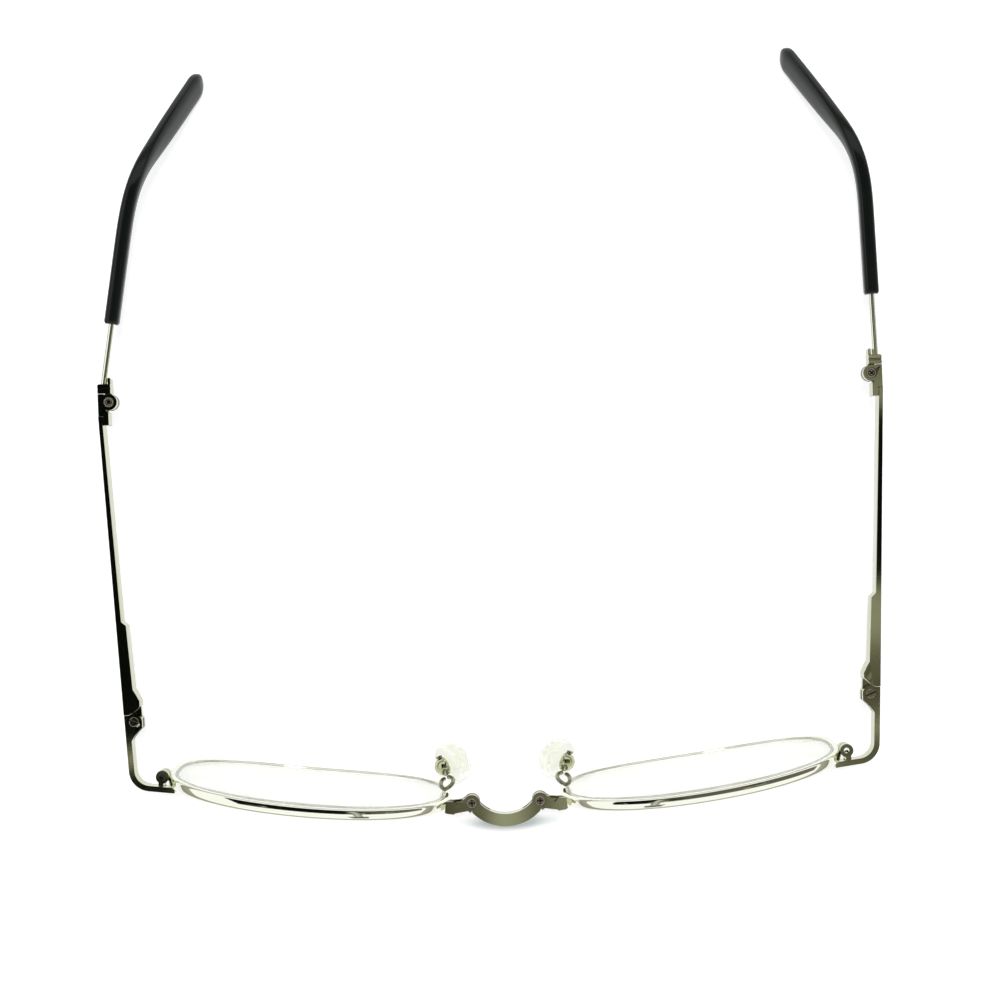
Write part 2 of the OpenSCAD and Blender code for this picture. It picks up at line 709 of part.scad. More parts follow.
// Mid-temple hinge, front side: an outer wall, two leaves and a tail inside the bar
module mid_hinge_front(side) {
    face = mid_inset;
    tail = face - bar_rear_t - face_gap;
    tail_in = tail - 1.05;
    tail_front = -4.2;
    shoulder = fine - bar_back;
    wall_in = face - 1;
    leaf_front = -2.4;
    leaf_back = mid_butt - face_gap;
    on_side(side, silver) at(mid_pin) difference() {
        union() {
            level(hinge_low, hinge_top)
                polygon([[tail_in, tail_front], [tail, tail_front], [tail, shoulder], [face, shoulder],
                    [face, mid_butt], [wall_in, mid_butt], [wall_in, -1.2], [tail_in, -1.9]]);
            for (low = [hinge_low, hinge_top - leaf_h]) level(low, low + leaf_h) {
                circle(r = knuckle_r, $fn = bore_fn);
                polygon([[0, 0], [0.5, -0.9 * knuckle_r], [0.5, leaf_front], [face - 0.5, leaf_front],
                    [face - 0.5, leaf_back], [0.2, leaf_back]]);
            }
        }
        hinge_bores();
        leaf_room(knuckle_r + leaf_gap);
    }
}

// Mid-temple hinge, rear side: a ridged block with the middle leaf and a tongue beside the wire
module mid_hinge_rear(side) {
    near = mid_butt + step;
    far = wire_start.y - mid_pin.y + 0.1;
    inner = -0.4;
    corner = 0.2;
    tongue_t = 0.5;
    tongue_end = far + 1.1;
    tongue_drop = 0.4;
    groove = 0.25;
    on_side(side, silver) difference() {
        union() {
            at(mid_pin) {
                level(hinge_low, hinge_top)
                    polygon([[inner, near], [mid_inset, near], [mid_inset, far - corner],
                        [mid_inset - corner, far], [inner, far]]);
                level(hinge_low + tongue_drop, hinge_top - tongue_drop) {
                    translate([inner, far - corner]) square([tongue_t, tongue_end - far]);
                    translate([inner + tongue_t / 2, tongue_end - corner])
                        circle(r = tongue_t / 2, $fn = bore_fn);
                }
                level(mid_low + leaf_gap, mid_top - leaf_gap) {
                    circle(r = knuckle_r - leaf_gap, $fn = bore_fn);
                    translate([inner, 0]) square([0.8 - inner, near + 0.5]);
                }
            }
        }
        at(mid_pin) translate([inner - over, (near + far - groove) / 2, hinge_top - groove])
            cube([mid_inset - inner + 2 * over, groove, groove + over]);
        at(mid_pin) leaf_bore();
        wire_rod(side, wire_r + fine);
    }
}

module mid_hinge_screw(side) {
    on_side(side, bright) at(mid_pin) rotate([0, 0, 40]) hinge_screw(true);
}

// Rear wire, from inside the hinge block to its end inside the sleeve
module wire_rod(side, r) {
    rod_l = wire_in_block + to_sleeve + wire_in_sleeve;
    at(wire_start) rotate([0, 0, yaw_of(side)]) translate([0, -wire_in_block, hinge_z]) rotate([-90, 0, 0])
        cylinder(r = r, h = rod_l, $fn = bore_fn);
}

module temple_wire(side) {
    on_side(side, bright) wire_rod(side, wire_r);
}

module tip_sleeve(side) {
    on_side(side, "black") difference() {
        sweep(tip_rings(side));
        wire_rod(side, wire_r + fine);
    }
}

bridge_bar();
bridge_screw(LEFT);  // left_bridge_screw
bridge_screw(RIGHT);  // right_bridge_screw
bridge_lug(LEFT);  // left_bridge_lug
bridge_lug(RIGHT);  // right_bridge_lug
rim(LEFT);  // left_rim
rim(RIGHT);  // right_rim
lens(LEFT);  // left_lens
lens(RIGHT);  // right_lens
closing_block_upper(LEFT);  // left_closing_block_upper
closing_block_upper(RIGHT);  // right_closing_block_upper
closing_block_lower(LEFT);  // left_closing_block_lower
closing_block_lower(RIGHT);  // right_closing_block_lower
closing_screw(LEFT);  // left_closing_screw
closing_screw(RIGHT);  // right_closing_screw
pad_arm(LEFT);  // left_pad_arm
pad_arm(RIGHT);  // right_pad_arm
pad_box(LEFT);  // left_pad_box
pad_box(RIGHT);  // right_pad_box
pad_screw(LEFT);  // left_pad_screw
pad_screw(RIGHT);  // right_pad_screw
pad_core(LEFT);  // left_pad_core
pad_core(RIGHT);  // right_pad_core
nose_pad(LEFT);  // left_nose_pad
nose_pad(RIGHT);  // right_nose_pad
endpiece(LEFT);  // left_endpiece
endpiece(RIGHT);  // right_endpiece
endpiece_screw(LEFT);  // left_endpiece_screw
endpiece_screw(RIGHT);  // right_endpiece_screw
temple_bar(LEFT);  // left_temple_bar
temple_bar(RIGHT);  // right_temple_bar
hinge_plate(LEFT);  // left_hinge_plate
hinge_plate(RIGHT);  // right_hinge_plate
mid_hinge_front(LEFT);  // left_mid_hinge_front
mid_hinge_front(RIGHT);  // right_mid_hinge_front
mid_hinge_rear(LEFT);  // left_mid_hinge_rear
mid_hinge_rear(RIGHT);  // right_mid_hinge_rear
mid_hinge_screw(LEFT);  // left_mid_hinge_screw
mid_hinge_screw(RIGHT);  // right_mid_hinge_screw
temple_wire(LEFT);  // left_temple_wire
temple_wire(RIGHT);  // right_temple_wire
tip_sleeve(LEFT);  // left_tip_sleeve
tip_sleeve(RIGHT);  // right_tip_sleeve
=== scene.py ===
# %% [markdown]
# # Folding reading glasses, dressed for a studio picture
#
# The packed model gives every metal, glass and plastic piece of the glasses with its exact place and size.
# This lesson gives them their looks. Thin bright metal is mostly mirror, so the light around it matters as
# much as the metal: a white room with a dark ceiling gives the black and olive streaks that polished nickel
# shows in the photograph. Curved pieces, such as the rims, lenses, pads and temple tips, are worked out
# again as smooth surfaces, and the flat machined pieces get rounded edges.

import json
import math

import bmesh
import bpy
import mathutils
import numpy as np
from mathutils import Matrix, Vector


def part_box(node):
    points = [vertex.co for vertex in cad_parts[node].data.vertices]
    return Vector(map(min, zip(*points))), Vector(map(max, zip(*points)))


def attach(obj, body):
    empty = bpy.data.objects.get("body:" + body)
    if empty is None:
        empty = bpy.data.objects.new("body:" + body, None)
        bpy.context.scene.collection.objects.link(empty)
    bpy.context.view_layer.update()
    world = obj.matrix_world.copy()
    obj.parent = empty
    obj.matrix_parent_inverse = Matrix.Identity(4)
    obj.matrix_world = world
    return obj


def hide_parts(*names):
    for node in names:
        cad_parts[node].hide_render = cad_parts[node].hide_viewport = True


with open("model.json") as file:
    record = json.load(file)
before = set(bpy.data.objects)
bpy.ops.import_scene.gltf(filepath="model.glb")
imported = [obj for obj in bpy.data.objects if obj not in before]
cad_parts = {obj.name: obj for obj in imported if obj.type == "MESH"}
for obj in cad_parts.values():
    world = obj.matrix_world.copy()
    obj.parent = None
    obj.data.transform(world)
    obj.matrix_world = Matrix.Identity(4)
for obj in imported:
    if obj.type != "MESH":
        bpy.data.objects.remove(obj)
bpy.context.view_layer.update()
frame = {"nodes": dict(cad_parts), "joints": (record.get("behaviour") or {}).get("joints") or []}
MM = 0.001
PINS = {j["name"]: np.array(j["pos_m"]) / MM for j in frame["joints"]}
BRIDGE_PIN = PINS["right_bridge_fold"]
END_PIN = PINS["right_temple_fold"]
MID_PIN = PINS["right_tip_fold"]
HINGE_Z = BRIDGE_PIN[2]
print("nodes", len(frame["nodes"]))
print("bridge pin", BRIDGE_PIN, "endpiece pin", END_PIN, "middle pin", MID_PIN)

# %% [markdown]
# ## Camera
#
# The photograph looks straight down on the open glasses from about forearm's length, and the glasses lie
# a little turned in it. A lens of medium length at that distance gives the same small shift between the
# upper and the lower rim. A view without perspective would be simpler, but it would hide the lower rims.

# %% The camera above the glasses
DISTANCE = 380.0
PIXELS_PER_MM = 5.5
PICTURE_SIDE = 1000
FOCUS_Z = 22.0
TURN = math.radians(-2.217)
LOOK_AT = (1.02, BRIDGE_PIN[1] + 54.81)
CLIP_NEAR = 0.01


def new_object(name, data):
    """Puts a mesh, lamp or camera into the scene under a name."""
    made = bpy.data.objects.new(name, data)
    bpy.context.collection.objects.link(made)
    return made


camera = new_object("camera", bpy.data.cameras.new("camera"))
camera.data.sensor_width = 36.0
camera.data.lens = PIXELS_PER_MM * DISTANCE / PICTURE_SIDE * camera.data.sensor_width
camera.data.clip_start = CLIP_NEAR
camera.location = (LOOK_AT[0] * MM, LOOK_AT[1] * MM, (FOCUS_Z + DISTANCE) * MM)
camera.rotation_euler = (0, 0, TURN)
bpy.context.scene.camera = camera
print("lens", round(camera.data.lens, 1), "mm, height", FOCUS_Z + DISTANCE, "mm")

# %% [markdown]
# ## Node maths
#
# A material is easier to read as a formula than as a web of nodes. The class below wraps one output socket,
# so that `1 - wear * 0.5` adds the Math nodes by itself. Colours go through Mix nodes instead, because a
# Math node would turn them grey.

# %% A socket that can be added and multiplied
class Value:
    """One output socket of a material, with arithmetic that adds Math nodes."""

    def __init__(self, recipe, socket):
        self.recipe, self.socket = recipe, socket

    def math(self, operation, *others):
        """A Math node with this value first."""
        return self.recipe.node("ShaderNodeMath", {"operation": operation}, [self, *others])

    def __add__(self, other):
        return self.math("ADD", other)

    __radd__ = __add__

    def __mul__(self, other):
        return self.math("MULTIPLY", other)

    __rmul__ = __mul__

    def __sub__(self, other):
        return self.math("SUBTRACT", other)

    def __rsub__(self, other):
        return self.recipe.node("ShaderNodeMath", {"operation": "SUBTRACT"}, [other, self])


print("a value can be added, multiplied and subtracted from both sides")


# %% A recipe that adds the nodes
class Recipe:
    """The node tree of one material or world."""

    def __init__(self, block):
        block.use_nodes = True
        self.nodes, self.links = block.node_tree.nodes, block.node_tree.links
        self.nodes.clear()

    def node(self, kind, settings=None, inputs=(), output=0):
        """Adds a node: settings first, such as a ramp's stops, then its sockets' values or links."""
        made = self.nodes.new(kind)
        for key, value in (settings or {}).items():
            if key == "stops":
                for n, (place, colour) in enumerate(value):
                    stop = made.color_ramp.elements[n] if n < 2 else made.color_ramp.elements.new(place)
                    stop.position, stop.color = place, (*colour, 1)
            else:
                setattr(made, key, value)
        pairs = inputs.items() if isinstance(inputs, dict) else enumerate(inputs)
        for key, value in pairs:
            if isinstance(value, Value):
                self.links.new(value.socket, made.inputs[key])
            else:
                made.inputs[key].default_value = value
        return Value(self, made.outputs[output]) if len(made.outputs) else None

    def mix(self, share, first, second):
        """A colour between two others; a colour is three numbers or a link."""
        four = [(*c, 1) if isinstance(c, tuple) else c for c in (first, second)]
        sockets = {0: share, 6: four[0], 7: four[1]}
        return self.node("ShaderNodeMix", {"data_type": "RGBA"}, sockets, output=2)

    def noise(self, place, scale, detail, rough=0.5):
        """Soft random grey; a larger scale gives smaller spots."""
        return self.node("ShaderNodeTexNoise", {}, {
            "Vector": place, "Scale": scale, "Detail": detail, "Roughness": rough})

    def place(self, scale=(1, 1, 1), shift=(0, 0, 0)):
        """Object coordinates, scaled and then moved."""
        where = self.node("ShaderNodeTexCoord", output=3)
        return self.node("ShaderNodeMapping", {}, {"Vector": where, "Location": shift, "Scale": scale})

    def bump(self, height, strength, distance):
        """Tilts the surface as if its height rose and fell by up to distance metres."""
        return self.node("ShaderNodeBump", {}, {
            "Strength": strength, "Distance": distance, "Height": height})

    def seen(self, *kinds):
        """1 for the given kinds of rays, such as Camera, Glossy and Transmission, otherwise 0."""
        outputs = self.node("ShaderNodeLightPath").socket.node.outputs
        rays = [Value(self, outputs[f"Is {kind} Ray"]) for kind in kinds]
        return self.node("ShaderNodeClamp", {}, [sum(rays[1:], rays[0])])


def new_finish(name):
    """A material and its empty recipe."""
    block = bpy.data.materials.new(name)
    return block, Recipe(block)


print("a recipe can add:", [name for name in vars(Recipe) if not name.startswith("__")])

# %% [markdown]
# ## The room
#
# The background is pure white for the eye and for mirror and glass, but the light that falls on the glasses
# is plain and soft. The floor keeps only the darkest part of the shadow, just in front of the bridge, and
# that part is partly painted: in a flat oval there the floor's glow is off, so the floor is darker there
# even with nothing above it, on top of the lamp's real shadow of the bridge.
# Polished metal shows what stands around it. The streaks on this metal are black on the left and olive grey
# on the right, so boards of these colours hang over the glasses and stand round them, and only mirrors see
# them. Painting the streaks on the metal would be quicker, but they wouldn't move when a temple folds. The
# lamp is hidden from mirrors, because its glint would show as a white line on the black tips.

# %% White world
bpy.context.scene.view_settings.view_transform = "Standard"
world = bpy.data.worlds.new("white_room")
bpy.context.scene.world = world
sky = Recipe(world)
ROOM_LIGHT = 0.6
strength = ROOM_LIGHT + sky.seen("Camera", "Glossy", "Transmission") * (1 - ROOM_LIGHT)
back = sky.node("ShaderNodeBackground", {}, {"Color": (1, 1, 1, 1), "Strength": strength})
sky.node("ShaderNodeOutputWorld", {}, [back])
print("room light", ROOM_LIGHT)

# %% Floor with a soft shadow, partly painted
FLOOR_HALF = 0.6
TABLE_WHITE, PAINTED_SHADOW_TINT = (0.79, 0.80, 0.80), (0.0, 0.02, 0.02)
# Place, flattening and inner and outer radius of the oval of painted shadow
PAINTED_SHADOW_AT = (0.0005, -0.0745)
PAINTED_SHADOW_FLAT = 6.5
PAINTED_SHADOW_CORE, PAINTED_SHADOW_EDGE = 0.004, 0.0125
FLOOR_LIFT, EYE_LIFT = 0.27, 0.8


def floor_material():
    """Matte white with a glow that a smooth step of the distance shuts off in a flat oval by the bridge: a
    painted shadow.
    """
    block, recipe = new_finish("white_table")
    matte = recipe.node("ShaderNodeBsdfDiffuse", {}, {"Color": (*TABLE_WHITE, 1)})
    middle = (-PAINTED_SHADOW_AT[0], -PAINTED_SHADOW_FLAT * PAINTED_SHADOW_AT[1], 0)
    centred = recipe.place(scale=(1, PAINTED_SHADOW_FLAT, 1), shift=middle)
    away = recipe.node("ShaderNodeVectorMath", {"operation": "LENGTH"}, [centred], output=1)
    share = recipe.node("ShaderNodeMapRange", {"interpolation_type": "SMOOTHSTEP"},
                        {"Value": away, "From Min": PAINTED_SHADOW_CORE, "From Max": PAINTED_SHADOW_EDGE})
    # Painted shadow: inside the oval the glow fades to this dark tint, so the floor is darker there
    # whatever lies above
    colour = recipe.mix(share, PAINTED_SHADOW_TINT, (FLOOR_LIFT, FLOOR_LIFT, FLOOR_LIFT))
    for_the_eye = recipe.seen("Camera", "Transmission") * EYE_LIFT
    strength = recipe.seen("Camera", "Glossy", "Transmission") + for_the_eye
    lift = recipe.node("ShaderNodeEmission", {}, {"Color": colour, "Strength": strength})
    both = recipe.node("ShaderNodeAddShader", {}, [matte, lift])
    recipe.node("ShaderNodeOutputMaterial", {}, [both])
    return block


def level_corners(x0, x1, y0, y1, z):
    """The corners of a level rectangle that faces up."""
    return [(x0, y0, z), (x1, y0, z), (x1, y1, z), (x0, y1, z)]


def stage_board(name, points, faces, material):
    """A board of the studio, not of the glasses."""
    mesh = bpy.data.meshes.new(name)
    mesh.from_pydata(points, [], faces)
    mesh.materials.append(material)
    board = new_object(name, mesh)
    return board


floor_corners = level_corners(-FLOOR_HALF, FLOOR_HALF, -FLOOR_HALF, FLOOR_HALF, 0.0)
stage_board("floor", floor_corners, [(0, 1, 2, 3)], floor_material())
print("floor", 2 * FLOOR_HALF, "m wide")

# %% Lamp
LAMP_AT, LAMP_AIM = np.array([0.0, 0.05, 0.55]), np.array([0.0, -0.03, 0.0])
LAMP_SIZE, LAMP_WATTS = 0.07, 1.1
light = bpy.data.lights.new("lamp_above", "AREA")
light.shape = "DISK"
light.size = LAMP_SIZE
light.energy = LAMP_WATTS
lamp = new_object("lamp_above", light)
lamp.location = LAMP_AT
way = LAMP_AIM - LAMP_AT
lamp.rotation_euler = (math.atan2(math.hypot(way[0], way[1]), -way[2]), 0, math.atan2(way[0], -way[1]))
lamp.visible_glossy = False
print("lamp of", LAMP_WATTS, "W at", LAMP_AT)


# %% Cards that only mirrors see
def mirror_card(name, points, faces, stops, axis):
    """A glowing board for reflections; its colour runs through stops (metres, colour) along one axis."""
    block, recipe = new_finish(name)
    low, high = stops[0][0], stops[-1][0]
    where = recipe.node("ShaderNodeSeparateXYZ", {}, [recipe.place()], output=axis)
    share = recipe.node("ShaderNodeMapRange", {}, {"Value": where, "From Min": low, "From Max": high})
    ramp = [((at - low) / (high - low), colour) for at, colour in stops]
    colour = recipe.node("ShaderNodeValToRGB", {"stops": ramp}, [share])
    glow = recipe.node("ShaderNodeEmission", {}, {"Color": colour, "Strength": 1.0})
    recipe.node("ShaderNodeOutputMaterial", {}, [glow])
    card = stage_board(name, points, faces, block)
    card.visible_camera = False
    card.visible_diffuse = False
    card.visible_shadow = False
    card.visible_transmission = False


CEILING_Z, CARD_STEP = 0.36, 0.0005
ACROSS, ALONG, UPRIGHT = 0, 1, 2
BLACK, DIM, SHADE = (0.004, 0.005, 0.004), (0.09, 0.09, 0.065), (0.17, 0.16, 0.13)
OLIVE, PALE, BEIGE = (0.40, 0.395, 0.34), (0.62, 0.61, 0.52), (0.46, 0.42, 0.35)
GREY_OLIVE, PALE_OLIVE = (0.42, 0.425, 0.37), (0.58, 0.585, 0.52)
ALONG_LEFT = [(-0.115, DIM), (-0.109, BLACK), (-0.10, BLACK), (-0.097, PALE), (-0.092, BLACK),
              (0.17, BLACK)]
ALONG_RIGHT = [(-0.115, OLIVE), (-0.108, SHADE), (-0.102, DIM), (-0.096, OLIVE), (-0.090, SHADE),
               (-0.084, DIM), (-0.078, SHADE), (-0.072, SHADE), (-0.062, OLIVE), (-0.050, OLIVE),
               (-0.044, BLACK), (0.013, BLACK), (0.017, OLIVE), (0.030, SHADE), (0.034, PALE),
               (0.045, OLIVE), (0.060, BLACK), (0.17, BLACK)]
ACROSS_BRIDGE = [(-0.024, DIM), (-0.016, SHADE), (-0.008, SHADE), (-0.004, PALE_OLIVE),
                 (0.004, GREY_OLIVE), (0.009, SHADE), (0.014, SHADE), (0.017, OLIVE), (0.024, OLIVE)]
ACROSS_RIM = [(0.024, BLACK), (0.042, BLACK), (0.046, DIM), (0.1, SHADE)]
ACROSS_ALL = [(-0.19, BLACK), (0.0, BLACK), (0.03, DIM), (0.62, SHADE)]


def plain(start, end, colour):
    """The stops of a card of one colour."""
    return [(start, colour), (end, colour)]


# Each card has lower x, upper x, lower y, upper y, then its stops and the axis they follow. The first hangs
# lowest, and the last is a wide ceiling that shows in the gaps between the others.
CARDS = {
    "over_left_temple": ((-0.150, -0.112, -0.115, 0.17), ALONG_LEFT, ALONG),
    "over_left_rim_end": ((-0.112, -0.102, -0.125, -0.085), plain(-0.125, -0.085, BEIGE), ALONG),
    "over_left_rim": ((-0.087, -0.022, -0.097, -0.035), plain(-0.087, -0.022, BLACK), ACROSS),
    "over_lugs": ((-0.024, 0.024, -0.145, -0.095), ACROSS_BRIDGE, ACROSS),
    "over_bridge": ((-0.012, 0.012, -0.260, 0.060), ACROSS_BRIDGE, ACROSS),
    "before_bridge": ((-0.030, 0.030, -0.480, -0.260), [(-0.48, DIM), (-0.26, SHADE)], ALONG),
    "over_right_rim": ((0.024, 0.100, -0.097, -0.035), ACROSS_RIM, ACROSS),
    "over_right_rim_end": ((0.100, 0.112, -0.125, -0.085), plain(-0.125, -0.085, BEIGE), ALONG),
    "over_right_temple": ((0.112, 0.150, -0.115, 0.17), ALONG_RIGHT, ALONG),
    "over_left_tip": ((-0.112, -0.075, 0.05, 0.17), plain(0.05, 0.17, BLACK), ALONG),
    "over_right_tip": ((0.075, 0.112, 0.05, 0.17), plain(0.05, 0.17, BLACK), ALONG),
    "wide_ceiling": ((-0.190, 0.620, -0.160, 0.240), ACROSS_ALL, ACROSS),
}
for n, (name, (sides, stops, axis)) in enumerate(CARDS.items()):
    corners = level_corners(*sides, CEILING_Z + CARD_STEP * n)[::-1]
    mirror_card(name, corners, [(0, 1, 2, 3)], stops, axis)
print("cards:", list(CARDS))

# %% Boards all round
# Olive boards stand all round, so that every rounded edge shows a thin darker line
BOARD_COUNT, BOARD_R, BOARD_LOW, BOARD_HIGH = 48, 0.55, 0.03, 0.24
BOARD_FOOT = (0.24, 0.235, 0.18)
turn = np.linspace(0, 2 * np.pi, BOARD_COUNT, endpoint=False)
foot = np.stack([BOARD_R * np.cos(turn), BOARD_R * np.sin(turn), np.full(BOARD_COUNT, BOARD_LOW)], -1)
wall = np.vstack([foot, foot + (0, 0, BOARD_HIGH - BOARD_LOW)])
here = np.arange(BOARD_COUNT)
after = (here + 1) % BOARD_COUNT
panels = np.stack([here, after, BOARD_COUNT + after, BOARD_COUNT + here], -1)
board_stops = [(BOARD_LOW, BOARD_FOOT), (BOARD_HIGH, OLIVE)]
mirror_card("boards_round", wall.tolist(), panels.tolist(), board_stops, UPRIGHT)
print("boards round the glasses:", BOARD_COUNT)

# %% [markdown]
# ## Finishes
#
# Nickel plate is a mirror with a slightly warm tint. Fine polishing lines run along it, and soft clouds of
# handling make it a little duller here and there, so tint, gloss and bump follow the same two noises.
# The screws get painted shade in their cuts, the tips are glossy black plastic, and the pads are clear
# silicone whose edges look yellow-green. One recipe with other numbers gives each of the metals.

# %% Metals
LINE_FINE, CLOUD_FINE = 900.0, 260.0
LINE_GLOSS, CLOUD_GLOSS = 0.5, 0.6
LINE_BUMP, LINE_DEPTH = 0.06, 0.00002
EVEN, UPWARDS, LENGTHWISE = (1, 1, 1), (1, 1, 6), (1, 6, 1)
# Near-black colour painted into the screws' cuts as shade
CUT_SHADE_PAINT = (0.015, 0.012, 0.01)


def metal(name, tint, handled, rough, line_scale=EVEN, cut_shade_colour=None):
    """Metal whose tint, gloss and bump follow fine lines and soft clouds; cuts get painted shade."""
    block, recipe = new_finish(name)
    lines = recipe.noise(recipe.place(scale=line_scale), LINE_FINE, 3.0, 0.6)
    cloud = recipe.noise(recipe.place(), CLOUD_FINE, 3.0, 0.55)
    colour = recipe.mix(cloud, tint, handled)
    if cut_shade_colour:
        # Painted shade: the deeper a point lies in a screw's cut, the nearer its colour is to near black
        cut = recipe.node("ShaderNodeAttribute", {"attribute_name": "cut"}, output=2)
        colour = recipe.mix(cut, colour, cut_shade_colour)
    roughness = rough + (lines - 0.5) * (LINE_GLOSS * rough) + (cloud - 0.5) * (CLOUD_GLOSS * rough)
    normal = recipe.bump(lines, LINE_BUMP, LINE_DEPTH)
    shader = recipe.node("ShaderNodeBsdfPrincipled", {}, {
        "Base Color": colour, "Metallic": 1.0, "Roughness": roughness, "Normal": normal})
    recipe.node("ShaderNodeOutputMaterial", {}, [shader])
    return block


polished = metal("polished_nickel", (0.97, 0.98, 0.88), (0.93, 0.94, 0.81), 0.05, UPWARDS)
satin = metal("satin_nickel", (0.60, 0.62, 0.41), (0.50, 0.51, 0.34), 0.055, LENGTHWISE)
# A dark metal for the rounded edges of the plates: painted shade along them
edge = metal("edge_painted_shade", (0.13, 0.125, 0.09), (0.07, 0.065, 0.05), 0.3)
# A darker copy of the nickel for the pad arms and pad screws: painted shade
wire_nickel_painted_shade = metal("pad_wire_nickel", (0.40, 0.39, 0.29), (0.24, 0.23, 0.17), 0.1)
steel = metal("turned_steel", (0.76, 0.72, 0.60), (0.60, 0.54, 0.44), 0.08, cut_shade_colour=CUT_SHADE_PAINT)
# Near-black steel for the left closing screw: a painted dark reflection; the right closing screw is
# polished nickel
dark_reflection_steel = metal("steel_painted_dark_reflection", (0.05, 0.05, 0.05), (0.03, 0.03, 0.03), 0.25)
print("metals:", [m.name for m in (polished, satin, edge, wire_nickel_painted_shade, steel, dark_reflection_steel)])


# %% Glass and silicone
CLEAR_DEPTH, EDGE_ON_POWER = 0.00005, 4.0


def clear(name, pale, tinted, cloud_fine, rough, ior, bump, rim_colour=None, body=1.0):
    """Clear stuff whose tint and gloss vary a little; a body below 1 lets more light straight through."""
    block, recipe = new_finish(name)
    cloud = recipe.noise(recipe.place(), cloud_fine, 3.0)
    colour = recipe.mix(cloud, pale, tinted)
    if rim_colour:
        facing = recipe.node("ShaderNodeLayerWeight", {}, {"Blend": 0.5}, output=1)
        colour = recipe.mix(facing.math("POWER", EDGE_ON_POWER), colour, rim_colour)
    shader = recipe.node("ShaderNodeBsdfPrincipled", {}, {
        "Base Color": colour, "Roughness": rough[0] + cloud * rough[1],
        "Transmission Weight": 1.0, "IOR": ior, "Alpha": body,
        "Normal": recipe.bump(cloud, bump, CLEAR_DEPTH)})
    recipe.node("ShaderNodeOutputMaterial", {}, [shader])
    return block


glass = clear("clear_lens", (0.985, 1.0, 0.95), (0.965, 0.985, 0.91), 120.0, (0.0, 0.01), 1.5, 0.0,
              body=0.8)
silicone = clear("clear_silicone", (1.0, 1.0, 0.96), (0.98, 0.99, 0.88), 300.0, (0.0, 0.02), 1.2, 0.02,
                 rim_colour=(0.14, 0.16, 0.07))
core = clear("hard_pad_core", (0.97, 0.98, 0.92), (0.94, 0.95, 0.88), 500.0, (0.02, 0.04), 1.05, 0.1,
             body=0.35)
print("clear finishes:", [m.name for m in (glass, silicone, core)])

# %% Black plastic
SWIRL_FINE, GRAIN_FINE, GRAIN_BUMP, GRAIN_DEPTH = 240.0, 3000.0, 0.03, 0.00001
SWIRL_DARK, SWIRL_PALE, SWIRL_GLOSS = (0.004, 0.005, 0.0045), (0.008, 0.011, 0.009), 0.08
PLASTIC_ROUGH, PLASTIC_IOR = 0.12, 1.34


def black_plastic():
    """Glossy black with slow swirls along the tip in its colour and gloss, and a very fine grain."""
    block, recipe = new_finish("black_tip")
    swirl = recipe.noise(recipe.place(scale=(1, 0.3, 1)), SWIRL_FINE, 3.0)
    grain = recipe.noise(recipe.place(), GRAIN_FINE, 2.0)
    shader = recipe.node("ShaderNodeBsdfPrincipled", {}, {
        "Base Color": recipe.mix(swirl, SWIRL_DARK, SWIRL_PALE),
        "Roughness": PLASTIC_ROUGH + swirl * SWIRL_GLOSS, "IOR": PLASTIC_IOR,
        "Normal": recipe.bump(grain, GRAIN_BUMP, GRAIN_DEPTH)})
    recipe.node("ShaderNodeOutputMaterial", {}, [shader])
    return block


black = black_plastic()
print("plastic:", black.name)

# %% [markdown]
# ## Building surfaces
#
# Every curved piece is a grid of points worked out by a formula. The helper joins neighbouring points into
# faces and closes the two ends with fans. Curves with a bevel could make the wires and rims too, but a grid
# also makes lenses, pads and screw heads. The left half of the glasses mirrors the right one, so each shape
# is written once.

# %% Grid to mesh
SIDES = {"left": -1, "right": 1}


def grid_faces(rows, cols):
    """Four-cornered faces between neighbours in a grid of rows x cols points, closed round its columns."""
    i, j = np.meshgrid(np.arange(rows - 1), np.arange(cols), indexing="ij")
    j2 = (j + 1) % cols
    here, above = i * cols, (i + 1) * cols
    return np.stack([here + j, here + j2, above + j2, above + j], -1).reshape(-1, 4)


def fan(ring, centre):
    """Triangles from a ring of point numbers to one centre point."""
    return np.stack([ring, np.full(len(ring), centre), np.roll(ring, -1)], -1)


def tube(grid):
    """Points and faces of a grid (rows, cols, 3) closed round its columns; the fans' centres come last."""
    rows, cols = grid.shape[:2]
    points = np.vstack([grid.reshape(-1, 3), grid[0].mean(0), grid[-1].mean(0)])
    first, last = np.arange(cols), (rows - 1) * cols + np.arange(cols)
    faces = grid_faces(rows, cols).tolist()
    faces += fan(first, rows * cols).tolist()
    faces += fan(last[::-1], rows * cols + 1).tolist()
    return points, faces


print("grid helpers ready")


# %% Mesh to riding piece
def piece(name, points, faces, body, material, slot, node, sharp=35):
    """Puts points (millimetres) and faces into an object that rides on a body and stands for a node."""
    mesh = bpy.data.meshes.new(name)
    mesh.from_pydata((points * MM).tolist(), [], faces)
    mesh.polygons.foreach_set("use_smooth", np.ones(len(mesh.polygons), bool))
    mesh.set_sharp_from_angle(angle=math.radians(sharp))
    mesh.update()
    mesh.materials.append(material)
    made = new_object(name, mesh)
    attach(made, body)
    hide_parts(node)
    return made


def on_side(side, name, points, faces, body, material, slot, node, sharp=35):
    """A shape of the right half as it is, or mirrored with its faces turned round on the left."""
    turned = faces if side == "right" else [face[::-1] for face in faces]
    return piece(f"{side}_{name}", points * (SIDES[side], 1, 1), turned, f"{side}_{body}", material, slot,
                 f"{side}_{node}", sharp)


def pair(*args, **settings):
    """The same shape on both sides."""
    return [on_side(side, *args, **settings) for side in SIDES]


print("pieces can be made for", list(SIDES))


# %% Two curves that many shapes use
def signed_power(value, power):
    """The power of a number's size, with the number's sign; powers below 1 make a circle squarer."""
    return np.sign(value) * np.abs(value) ** power


def smooth(t):
    """Smooth step: three squares of t less two cubes, with t held between 0 and 1."""
    t = np.clip(t, 0, 1)
    return t * t * (3 - 2 * t)


